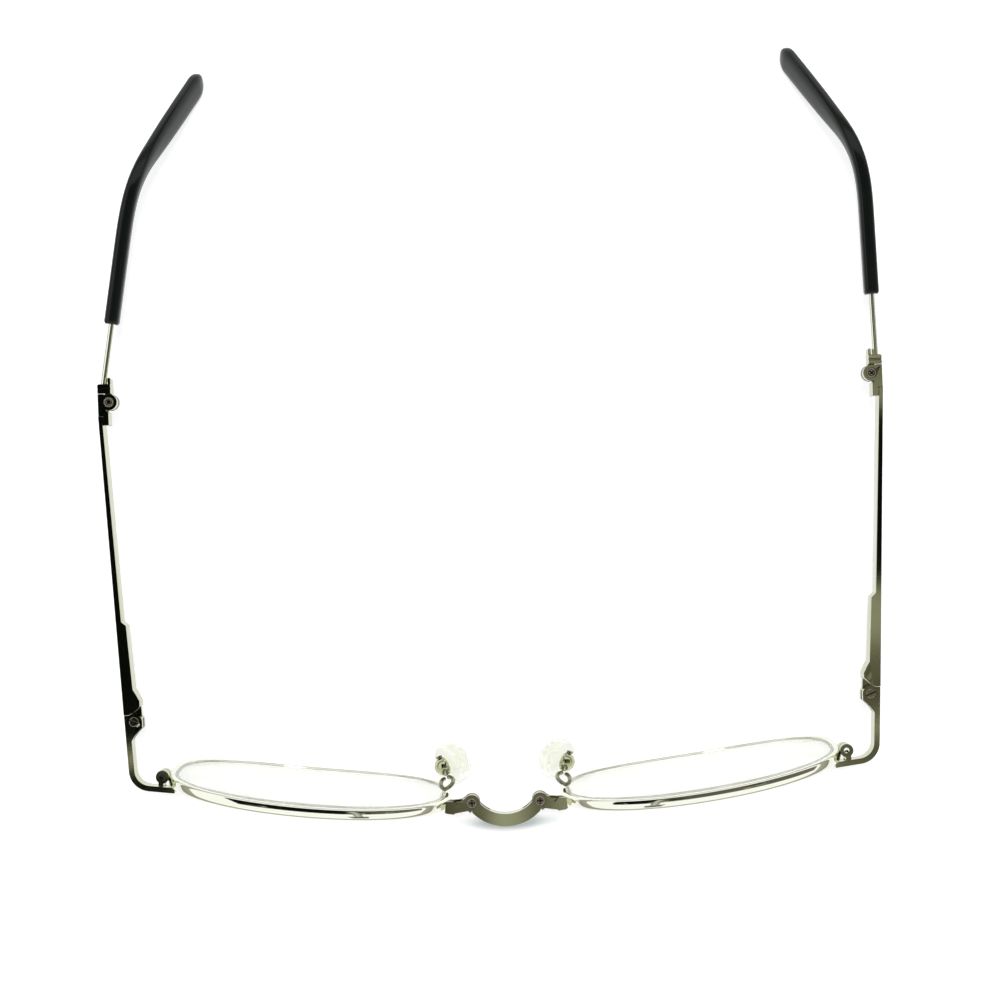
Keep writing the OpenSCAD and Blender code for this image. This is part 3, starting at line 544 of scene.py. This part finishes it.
print("smooth step at a quarter:", smooth(0.25))

# %% [markdown]
# ## Rims
#
# A rim is a drawn wire with a crowned outside and a groove inside, bent round the lens. Its path is the
# lens outline: a superellipse, squarer at the brow than at the cheek, laid on a sphere so it bows forward.
# A curve object could follow that path, but its profile could twist. So the profile is carried round the
# outline as one grid. It stays open by a hair at the outer end, where the closing block draws it together.

# %% The lens outline and its curved skin
LENS_W, LENS_H, RIM_GAP = 50.0, 29.0, 20.6
RIM_OUT, RIM_LAP, RIM_DEPTH, CURVE_R = 1.0, 0.5, 2.2, 160.0
WRAP, LEAN = math.radians(7.2), math.radians(6)
BROW, CHEEK = 3.0, 2.4
SPLIT, FRONT_OFFSET = 0.15, 0.15


def sag(radius, span):
    """How far a circle falls behind its tangent at a distance from where they touch."""
    return radius - np.sqrt(radius * radius - span * span)


half_w, half_h = LENS_W / 2 + RIM_OUT, LENS_H / 2 + RIM_OUT
lens_x = RIM_GAP / 2 + half_w * math.cos(WRAP)
lens_z = half_h * math.cos(LEAN) - (sag(CURVE_R, half_h) - RIM_DEPTH / 2) * math.sin(LEAN)
lens_y = (half_w * math.sin(WRAP) - sag(CURVE_R, half_w) + (HINGE_Z - lens_z) * math.tan(LEAN)
          - FRONT_OFFSET + BRIDGE_PIN[1])
LENS_PLACE = np.array([lens_x, lens_y, lens_z])
cw, sw, cl, sl = math.cos(WRAP), math.sin(WRAP), math.cos(LEAN), math.sin(LEAN)
wrap_turn = np.array([[cw, -sw, 0], [sw, cw, 0], [0, 0, 1]])
lean_turn = np.array([[1, 0, 0], [0, cl, -sl], [0, sl, cl]])
LENS_TURN = wrap_turn @ lean_turn


def to_glasses(local):
    """From the lens's own axes (x across, y back, z up) to the frame."""
    return local @ LENS_TURN.T + LENS_PLACE


def outline(angle, grow):
    """Across and up: half width and half height, each grown, times the signed powers of cosine and sine."""
    power = 2 / np.where(np.sin(angle) > 0, BROW, CHEEK)
    return ((LENS_W / 2 + grow) * signed_power(np.cos(angle), power),
            (LENS_H / 2 + grow) * signed_power(np.sin(angle), power))


def even_angles(start, stop, count):
    """Angles whose outline points are the same distance apart."""
    fine = np.linspace(start, stop, 20001)
    x, z = outline(fine, 0)
    run = np.concatenate([[0], np.cumsum(np.hypot(np.diff(x), np.diff(z)))])
    return np.interp(np.linspace(0, run[-1], count), run, fine)


def skin_depth(x, z, out):
    """How far back the skin lies at x, z: the sphere's radius less the height over that place."""
    return CURVE_R - np.sqrt((CURVE_R + out) ** 2 - x * x - z * z)


print("lens middle", LENS_PLACE.round(2))


# %% Rims
ROUND_BACK, ROUND_OUT = 0.8, 0.85
GROOVE_DEEP, GROOVE_HALF, GROOVE_FROM = 0.5, 0.4, -0.3
RIM_STEPS = 320


def rim_profile(count=48):
    """Grow and depth of a rounded bar: powers of sine and cosine, less a V groove cut into the inside."""
    turn = np.linspace(0, 2 * np.pi, count, endpoint=False)
    depth = RIM_DEPTH / 2 * signed_power(np.cos(turn), ROUND_BACK)
    grow = (RIM_OUT - RIM_LAP) / 2 + (RIM_OUT + RIM_LAP) / 2 * signed_power(np.sin(turn), ROUND_OUT)
    groove = GROOVE_DEEP * np.clip(1 - np.abs(depth) / GROOVE_HALF, 0, 1)
    return np.where(grow < GROOVE_FROM, grow + groove, grow), depth


def rim_grid():
    """The profile carried round the outline, from just above the split round to just below it."""
    level = (HINGE_Z - lens_z) / cl
    fine = np.linspace(0, np.pi / 2, 4001)
    split_at = fine[np.argmin(np.abs(outline(fine, 0)[1] - level))]
    gap = SPLIT / LENS_H
    angle = even_angles(split_at + gap / 2, split_at + 2 * np.pi - gap / 2, RIM_STEPS)
    grow, depth = rim_profile()
    x, z = outline(angle[:, None], grow[None, :])
    y = skin_depth(x, z, depth[None, :])
    return to_glasses(np.stack([x, y, z], -1))


pair("rim_wire", *tube(rim_grid()), "front", polished, "nickel_silver", "rim", sharp=60)
print("rims made:", RIM_STEPS, "profiles round each lens")

# %% [markdown]
# ## Lenses
#
# Each lens is a meniscus: its front bulges and its back is hollow. A bevel runs round its edge and sits in
# the rim's groove. A sphere could be cut to the outline, but one grid from the middle of the front over the
# bevel to the middle of the back has no seam. The front is flatter than the packed one, because a rounder
# front catches light at its upper edge and shows a grey band there.

# %% Lenses
LENS_T, LENS_FRONT_R, LENS_BACK_R = 2.4, 190.0, 200.0
LENS_RINGS, LENS_AROUND, LENS_PLAY, FIRST_RING = 22, 240, 0.05, 0.02
# Each ring of the bevel has its growth from the outline and its height over the middle skin
BEVEL_RINGS = [(-0.25, 0.3), (-0.02, 0.05), (-0.02, -0.05), (-0.25, -0.3)]


def on_skin(angle, grow, out):
    """One ring of points on the outline, grown, at a height over the lens's middle skin."""
    x, z = outline(angle[None, :], grow)
    return np.stack([x, skin_depth(x, z, out), z], -1)


def lens_grid():
    """Front sphere, bevel and back sphere in one grid; each row is the outline, shrunk to the middle."""
    angle = even_angles(0, 2 * np.pi, LENS_AROUND + 1)[:-1]
    edge_mid = sag(CURVE_R, LENS_W / 2)
    front = edge_mid - (LENS_T + sag(LENS_FRONT_R, LENS_W / 2) + sag(LENS_BACK_R, LENS_W / 2)) / 2
    shrink = np.sin(np.linspace(FIRST_RING, 1, LENS_RINGS) * np.pi / 2)[:, None]
    x, z = outline(angle[None, :], -RIM_LAP - LENS_PLAY)
    face_x, face_z = shrink * x, shrink * z
    span = np.hypot(face_x, face_z)
    front_face = np.stack([face_x, front + sag(LENS_FRONT_R, span), face_z], -1)
    back_face = np.stack([face_x, front + LENS_T + sag(LENS_BACK_R, span), face_z], -1)
    bevel = [on_skin(angle, grow, out) for grow, out in BEVEL_RINGS]
    return to_glasses(np.vstack([front_face, *bevel, back_face[::-1]]))[:, ::-1]


for lens in pair("lens_glass", *tube(lens_grid()), "front", glass, "lens", "lens", sharp=30):
    lens.visible_shadow = False
print("lenses made:", LENS_W, "by", LENS_H, "mm")

# %% [markdown]
# ## Machined pieces
#
# The hinge leaves, lugs, bars and blocks are flat plates that were milled and then tumbled, so their edges
# are slightly round and catch the light. They could be modelled anew, but the packed shapes already fit one
# another. So each is a copy of the packed shape, with its doubled points merged and its flat faces made
# whole again. A Bevel modifier rounds its edges and, on all but the endpiece strips, gives them a dark
# finish of their own, which is painted shade along the edges.

# %% Clean copies of the packed plates
FLAT, WELD = math.radians(1.0), 0.000002


def cleaned(mesh):
    """The mesh with its doubled points merged and its flat faces made whole."""
    cut = bmesh.new()
    cut.from_mesh(mesh)
    bmesh.ops.remove_doubles(cut, verts=cut.verts, dist=WELD)
    bmesh.ops.dissolve_limit(cut, angle_limit=FLAT, verts=cut.verts, edges=cut.edges)
    cut.to_mesh(mesh)
    cut.free()
    return mesh


def clean_copy(node):
    """A cleaned copy of a packed mesh."""
    return cleaned(frame["nodes"][node].data.copy())


def united(nodes, nudge):
    """One closed mesh from two copies: the second is nudged a hair into the first along x, then joined."""
    first, second = (new_object("joining", clean_copy(node)) for node in nodes)
    second.data.transform(mathutils.Matrix.Translation((nudge * MM, 0, 0)))
    join = first.modifiers.new("join", "BOOLEAN")
    join.operation, join.solver, join.object = "UNION", "EXACT", second
    joined = first.evaluated_get(bpy.context.evaluated_depsgraph_get())
    mesh = bpy.data.meshes.new_from_object(joined)
    for used in (first, second):
        bpy.data.objects.remove(used)
    return cleaned(mesh)


print("doubles are merged within", WELD / MM, "mm")

# %% Rounded edges
SHARP, EDGE_STEPS, LEAF_ROUND = math.radians(32), 4, 0.06


def weigh_edges(mesh, soft_before, fine):
    """Bevel weight 1 for sharp edges in front of a place, and a smaller weight for the others."""
    cut = bmesh.new()
    cut.from_mesh(mesh)
    weight = cut.edges.layers.float.new("bevel_weight_edge")
    for line in cut.edges:
        if len(line.link_faces) == 2 and line.calc_face_angle() > SHARP:
            middle_y = (line.verts[0].co.y + line.verts[1].co.y) / 2
            line[weight] = 1.0 if middle_y < soft_before * MM else fine
    cut.to_mesh(mesh)
    cut.free()


def tumbled(name, mesh, body, stands_for, width, edges=None, soft_before=None):
    """A plate with rounded edges, painted dark as shade by a finish of their own if given; soft_before
    rounds its front fully.
    """
    mesh.name = name
    mesh.polygons.foreach_set("use_smooth", np.ones(len(mesh.polygons), bool))
    mesh.set_sharp_from_angle(angle=SHARP)
    mesh.materials.clear()
    mesh.materials.append(satin)
    made = new_object(name, mesh)
    round_edges = made.modifiers.new("round_edges", "BEVEL")
    round_edges.width, round_edges.segments = width * MM, EDGE_STEPS
    round_edges.harden_normals = True
    # The edges' own finish is dark: painted shade along the rounded edges
    if edges:
        mesh.materials.append(edges)
        round_edges.material = 1
    if soft_before is None:
        round_edges.limit_method, round_edges.angle_limit = "ANGLE", SHARP
    else:
        weigh_edges(mesh, soft_before, LEAF_ROUND / width)
        round_edges.limit_method = "WEIGHT"
    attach(made, body)
    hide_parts(*stands_for)


print("edges sharper than", round(math.degrees(SHARP)), "degrees are rounded in", EDGE_STEPS, "steps")

# %% The plates
# Each plate has the body that it rides on and the width of its rounded edges in millimetres
PLATES = {"bridge_lug": ("front", 0.09), "closing_block_upper": ("front", 0.07),
          "closing_block_lower": ("front", 0.07), "mid_hinge_front": ("temple", 0.07),
          "mid_hinge_rear": ("tip", 0.07)}
BAR_ROUND, TEMPLE_ROUND, JOIN_NUDGE = 0.13, 0.12, 0.05
BEND_ROUND, BEND_FRONT = 0.34, END_PIN[1] - 4
tumbled("bridge_bar_plate", clean_copy("bridge_bar"), "bridge", ["bridge_bar"], BAR_ROUND, edge)
for side, flip in SIDES.items():
    for node, (body, width) in PLATES.items():
        tumbled(f"{side}_{node}_plate", clean_copy(f"{side}_{node}"), f"{side}_{body}",
                [f"{side}_{node}"], width, edge)
    tumbled(f"{side}_endpiece_strip", clean_copy(f"{side}_endpiece"), f"{side}_front",
            [f"{side}_endpiece"], BEND_ROUND, soft_before=BEND_FRONT)
    temple = [f"{side}_temple_bar", f"{side}_hinge_plate"]
    tumbled(f"{side}_temple_front", united(temple, JOIN_NUDGE * flip), f"{side}_temple", temple,
            TEMPLE_ROUND, edge)
print("plates:", 1 + 2 * (len(PLATES) + 2))

# %% [markdown]
# ## Screws
#
# A hinge screw is turned on a lathe and then cut: its head has a groove inside a raised ring, and a middle
# with a cross, or else a slot right across. Cutters and booleans could make that, but here the head is one
# grid in polar coordinates whose heights come from a formula. The grid goes on down the side of the head
# and the shank, and the depth of the cuts goes along with it, so that the finish paints shade into the
# cuts.

# %% Screw heads
HEAD_R, HEAD_H, SHANK_R, HINGE_H, END_CONE = 0.9, 0.45, 0.55, 3.5, 0.25
RING_AT, RING_WIDE, RING_DEEP = 0.62, 0.07, 0.16
CUT_HALF, CUT_DEEP, CROSS_REACH, SLOT_REACH = 0.11, 0.22, 0.46, 2.0
EDGE_WIDE, EDGE_DROP, HEAD_SINK, SHANK_EDGE = 0.14, 0.10, 0.01, 0.05
# Depths of groove and cut at which the painted shade is full
RING_SHADE_FULL, CUT_SHADE_FULL = 0.12, 0.16
SIDE_SOFT, END_SOFT = 0.05, 0.06


def bar_mask(along, across, reach):
    """1 inside a bar and 0 outside, with smooth steps at its sides and ends."""
    inside = smooth((CUT_HALF - np.abs(across)) / SIDE_SOFT + 0.5)
    return inside * smooth((reach - np.abs(along)) / END_SOFT + 0.5)


def screw_grid(cross_cut, turned, length, rings=46, around=144):
    """Height of the head: flat, less the deeper of groove and cut, less a round edge; then the shank."""
    radius = np.linspace(0.01, HEAD_R, rings)[:, None]
    angle = np.linspace(0, 2 * np.pi, around, endpoint=False)[None, :]
    x, y = radius * np.cos(angle), radius * np.sin(angle)
    reach = (CROSS_REACH if cross_cut else SLOT_REACH) * HEAD_R
    groove, mask = 0 * radius, bar_mask(x, y, reach)
    if cross_cut:
        groove = RING_DEEP * np.exp(-((radius - RING_AT * HEAD_R) / RING_WIDE) ** 2)
        mask = np.maximum(mask, bar_mask(y, x, reach))
    cut = CUT_DEEP * mask
    drop = EDGE_DROP * smooth((radius - HEAD_R + EDGE_WIDE) / EDGE_WIDE) ** 2
    height = length / 2 - np.maximum(groove, cut) - drop - HEAD_SINK
    top = np.stack([x, y, height], -1)
    ring = np.concatenate([np.cos(angle), np.sin(angle)]).T
    under, foot = length / 2 - HEAD_H, -length / 2
    below = [(HEAD_R, under), (SHANK_R, under), (SHANK_R, foot + SHANK_EDGE), (SHANK_R - SHANK_EDGE, foot),
             (0.02, foot + END_CONE)]
    sides = [np.column_stack([r * ring, np.full(around, z)]) for r, z in below]
    grid = np.concatenate([top, np.stack(sides)])[:, ::-1]
    c, s = math.cos(turned), math.sin(turned)
    # Painted shade: how dark each point of the head is painted, from the depth of groove and cut
    painted_shade = np.clip(np.maximum(groove / RING_SHADE_FULL, cut / CUT_SHADE_FULL), 0, 1)
    painted_shade = np.concatenate([painted_shade, np.zeros((len(below), around))])[:, ::-1]
    return grid @ np.array([[c, s, 0], [-s, c, 0], [0, 0, 1]]), painted_shade


print("screw heads are", 2 * HEAD_R, "mm wide, their cuts", CUT_DEEP, "mm deep")

# %% Screws
END_TURN, MID_TURN, CLOSING_TURN = 25, 40, 90


def screw(node, pin, body, cross_cut, turned, material=steel, slot="screw_steel", length=HINGE_H,
          head_down=False):
    """One screw; the depth of its cuts is kept as an attribute, for the shade painted in them."""
    grid, painted_shade = screw_grid(cross_cut, math.radians(turned), length)
    if head_down:
        grid = grid * (1, -1, -1)
    made = piece(f"{node}_turned", *tube(grid + pin), body, material, slot, node, 40)
    values = made.data.attributes.new("cut", "FLOAT", "POINT")
    depths = np.concatenate([painted_shade.ravel(), [painted_shade[0, 0], 0.0]])
    values.data.foreach_set("value", depths.astype(np.float32))


for side, flip in SIDES.items():
    mirrored = (flip, 1, 1)
    screw(f"{side}_bridge_screw", BRIDGE_PIN * mirrored, "bridge", True, 0)
    screw(f"{side}_endpiece_screw", END_PIN * mirrored, f"{side}_front", False, END_TURN * flip)
    screw(f"{side}_mid_hinge_screw", MID_PIN * mirrored, f"{side}_temple", True, MID_TURN * flip)
    low, high = (np.array(corner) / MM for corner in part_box(f"{side}_closing_screw"))
    # The left closing screw is painted near black as a dark reflection; the right one is polished
    screw(f"{side}_closing_screw", (low + high) / 2, f"{side}_front", False, CLOSING_TURN,
          dark_reflection_steel if side == "left" else polished, "blackened_screw", high[2] - low[2], head_down=True)
print("screws made:", 4 * len(SIDES))

# %% [markdown]
# ## Temple tips
#
# The tip is a black sleeve over the end of the wire. It runs straight, bends down behind the ear and in
# towards the head, and ends in a paddle. A bent box with subdivision could do it, but short steps along a
# direction keep the length true: the path is their running sum, and the direction's two angles ease from
# one value to the next. The section is a rounded square that grows taller to the paddle and rolls outwards
# at the top. Each wearer bends the wires to suit, so the left one leans in further.

# %% Path of the tip
LEAN_IN = {"left": math.radians(9.8), "right": math.radians(1.4)}
TIP_YAW, TIP_DROP, TIP_ROLL = (math.radians(a) for a in (24.5, 41, 18))
BARE, SLEEVE_L, BEND_L, YAW_FROM = 11.2, 20.5, 14.0, 0.7
SLEEVE_T, SLEEVE_H, PADDLE_H, PADDLE_REST = 2.7, 3.2, 5.0, 0.15
WIRE_FROM_PIN = (1.1, 3.2)
wire_start = MID_PIN[:2] + WIRE_FROM_PIN


def wire_way(side):
    """Unit direction of the bare wire, seen from above: minus the sine and the cosine of its lean."""
    return np.array([-math.sin(LEAN_IN[side]), math.cos(LEAN_IN[side])])


def tip_way(side, s):
    """Unit directions at lengths s: yaw and drop each follow the smooth step."""
    yaw_share = smooth((s - YAW_FROM * SLEEVE_L) / ((1 - YAW_FROM) * SLEEVE_L + BEND_L))
    yaw = LEAN_IN[side] + (TIP_YAW - LEAN_IN[side]) * yaw_share
    drop = TIP_DROP * smooth((s - SLEEVE_L) / BEND_L)
    return np.stack([-np.sin(yaw) * np.cos(drop), np.cos(yaw) * np.cos(drop), -np.sin(drop)], -1)


def tip_points(side, length, count):
    """Running sum of the directions at the middle of each step."""
    step = length / count
    start = np.array([*(wire_start + BARE * wire_way(side)), HINGE_Z])
    ways = tip_way(side, (np.arange(count) + 0.5) * step)
    return start + np.vstack([np.zeros(3), np.cumsum(ways * step, axis=0)])


bend_z = tip_points("right", SLEEVE_L + BEND_L, 60)[-1, 2]
tip_l = SLEEVE_L + BEND_L + (bend_z - PADDLE_REST * PADDLE_H) / math.sin(TIP_DROP)
print("tip length", round(tip_l, 2), "mm")

# %% Sleeves
ROUND_FROM, LEAST_END, MOUTH, MOUTH_L = 0.94, 0.02, 0.86, 0.35
SWELL_FROM, SWELL_TALL, SWELL_THIN, PADDLE_THIN = 0.3, 0.55, 0.5, 0.3
ROLL_L, SQUARE = 1.5 * BEND_L, 2 / 3


def sleeve_grid(side, count=140, around=56):
    """Rounded squares along the path; across and up stand square to it and are rolled by the tip's roll."""
    share = np.linspace(0, 1, count + 1)
    way = tip_way(side, share * tip_l)
    flat = np.stack([way[:, 1], -way[:, 0], 0 * way[:, 0]], -1)
    flat /= np.linalg.norm(flat, axis=1)[:, None]
    plumb = np.cross(flat, way)
    roll = (TIP_ROLL * smooth((share * tip_l - SLEEVE_L) / ROLL_L))[:, None]
    across = np.cos(roll) * flat - np.sin(roll) * plumb
    up = np.cos(roll) * plumb + np.sin(roll) * flat
    end = np.sqrt(1 - np.clip((share - ROUND_FROM) / (1 - ROUND_FROM), 0, 1) ** 2)
    mouth = MOUTH + (1 - MOUTH) * np.sqrt(np.clip(share * tip_l / MOUTH_L, 0, 1))
    size = np.maximum(end, LEAST_END) * mouth
    half_h = (SLEEVE_H + (PADDLE_H - SLEEVE_H) * smooth((share - SWELL_FROM) / SWELL_TALL)) / 2 * size
    half_t = (SLEEVE_T - PADDLE_THIN * smooth((share - SWELL_FROM) / SWELL_THIN)) / 2 * size
    turn = np.linspace(0, 2 * np.pi, around, endpoint=False)
    wide, tall = signed_power(np.cos(turn), SQUARE), signed_power(np.sin(turn), SQUARE)
    return (tip_points(side, tip_l, count)[:, None] + (half_t[:, None] * wide)[..., None] * across[:, None]
            + (half_h[:, None] * tall)[..., None] * up[:, None])


for side in SIDES:
    on_side(side, "sleeve", *tube(sleeve_grid(side)), "tip", black, "black_tip", "tip_sleeve", 50)
print("sleeves made:", list(SIDES))

# %% [markdown]
# ## Rear wires
#
# The wire between the middle hinge and the sleeve is plain round nickel wire. It starts inside the hinge
# block and ends inside the sleeve, because a real wire is set into both. A cylinder between two points
# would do as well, but circles carried along a path use the grid helpers above.

# %% Wires
WIRE_R, WIRE_IN_BLOCK, WIRE_IN_SLEEVE, WIRE_STEPS = 0.625, 0.9, 9.9, 30


def round_tube(path, radius, around=24):
    """A tube: circles in the plane across the path, carried along it."""
    way = np.gradient(path, axis=0)
    way /= np.linalg.norm(way, axis=1)[:, None]
    side = np.cross(way, (0, 0, 1))
    side /= np.linalg.norm(side, axis=1)[:, None]
    over = np.cross(side, way)
    turn = np.linspace(0, 2 * np.pi, around, endpoint=False)[None, :, None]
    return path[:, None] + radius * (np.cos(turn) * side[:, None] + np.sin(turn) * over[:, None])


along = np.linspace(-WIRE_IN_BLOCK, BARE + WIRE_IN_SLEEVE, WIRE_STEPS)[:, None]
for side in SIDES:
    wire_path = np.hstack([wire_start + along * wire_way(side), np.full_like(along, HINGE_Z)])
    on_side(side, "wire", *tube(round_tube(wire_path, WIRE_R)), "tip", polished, "nickel_silver",
            "temple_wire")
print("wires made:", 2 * WIRE_R, "mm thick")

# %% [markdown]
# ## Nose pads and their cups
#
# A pad is a soft oval cushion of clear silicone. Its eye swings on a small screw inside a round cup, which
# is stamped with a toothed collar and a domed top. Both could be turned shapes with edits by hand. Here the
# pad is a stack of ovals, and the cup is a profile carried round, with a wave that makes the teeth.

# %% Nose pads
PAD_L, PAD_W, PAD_T = 13.0, 7.5, 2.4
PAD_FLARE, PAD_OPEN = math.radians(28), math.radians(20)
PAD_IN, PAD_BACK, PAD_DOWN, PAD_SINK = 0.5, 6.2, 9.5, 0.1
PAD_SQUARE, PAD_POLE = 0.92, 0.99
pad_middle = np.array([RIM_GAP / 2 - PAD_IN, BRIDGE_PIN[1] + PAD_BACK, HINGE_Z - PAD_DOWN])
pad_out = np.array([math.cos(PAD_FLARE) * math.cos(PAD_OPEN), -math.cos(PAD_FLARE) * math.sin(PAD_OPEN),
                    math.sin(PAD_FLARE)])
pad_across = np.array([math.sin(PAD_OPEN), math.cos(PAD_OPEN), 0])
pad_up = np.cross(pad_out, pad_across)


def from_pad(local):
    """From the pad's own axes (across, up, away from the nose) to the frame."""
    return pad_middle + local @ np.stack([pad_across, pad_up, pad_out])


def pad_grid(layers=40, around=72):
    """Ovals that shrink with the square root of a cosine towards the pad's two faces."""
    lift = np.linspace(-PAD_POLE, PAD_POLE, layers)[:, None] * np.pi / 2
    turn = np.linspace(0, 2 * np.pi, around, endpoint=False)[None, :]
    shrink = np.sqrt(np.cos(lift))
    x = PAD_W / 2 * shrink * signed_power(np.cos(turn), PAD_SQUARE)
    y = PAD_L / 2 * shrink * signed_power(np.sin(turn), PAD_SQUARE)
    return from_pad(np.stack([x, y, PAD_T / 2 * np.sin(lift) - PAD_SINK + 0 * x], -1))


pair("silicone_pad", *tube(pad_grid()), "pad", silicone, "silicone_pad", "nose_pad", sharp=60)
print("pads made:", PAD_L, "by", PAD_W, "mm")

# %% Cups
# Radius and height along the collar's profile
COLLAR = [(1.3, 1.5), (1.68, 1.5), (1.75, 1.6), (1.75, 2.0), (1.68, 2.08)]
COLLAR_LOW, COLLAR_HIGH, TEETH, TOOTH = 1.55, 2.05, 12, 0.12
DOME_R, DOME_Z, DOME_H, DOME_STEPS = 1.66, 2.12, 1.5, 14


def cup_grid(around=96):
    """A collar with teeth and a round dome on it; the teeth are a cut-off cosine added to the radius."""
    rise = np.linspace(0, PAD_POLE * np.pi / 2, DOME_STEPS)
    dome = np.column_stack([DOME_R * np.cos(rise), DOME_Z + DOME_H * np.sin(rise)])
    profile = np.vstack([COLLAR, dome])
    turn = np.linspace(0, 2 * np.pi, around, endpoint=False)[None, :]
    radius, z = profile[:, :1], profile[:, 1:]
    toothed = (z < COLLAR_HIGH) * (z > COLLAR_LOW)
    radius = radius + TOOTH * np.clip(np.cos(TEETH * turn), -0.5, 0.6) * toothed
    return from_pad(np.stack([radius * np.cos(turn), radius * np.sin(turn), z + 0 * radius], -1))


pair("pad_cup", *tube(cup_grid()), "front", satin, "nickel_silver", "pad_box", sharp=40)
print("cups made with", TEETH, "teeth")

# %% [markdown]
# ## Every other packed piece
#
# The pad arms are thin wire, bent to a loop that holds the cup. They, the pad screws and the hard cores in
# the pads are small and already smooth enough, so they keep their packed shape and only get a finish.

# %% Finishes of the packed pieces
# The pad arms and pad screws get the darker copy of the nickel, which is painted shade
PACKED_FINISH = {"pad_screw": wire_nickel_painted_shade, "pad_arm": wire_nickel_painted_shade, "pad_core": core}
for side in SIDES:
    for node, material in PACKED_FINISH.items():
        mesh = frame["nodes"][f"{side}_{node}"].data
        mesh.materials.clear()
        mesh.materials.append(material)
print("packed pieces finished:", list(PACKED_FINISH))
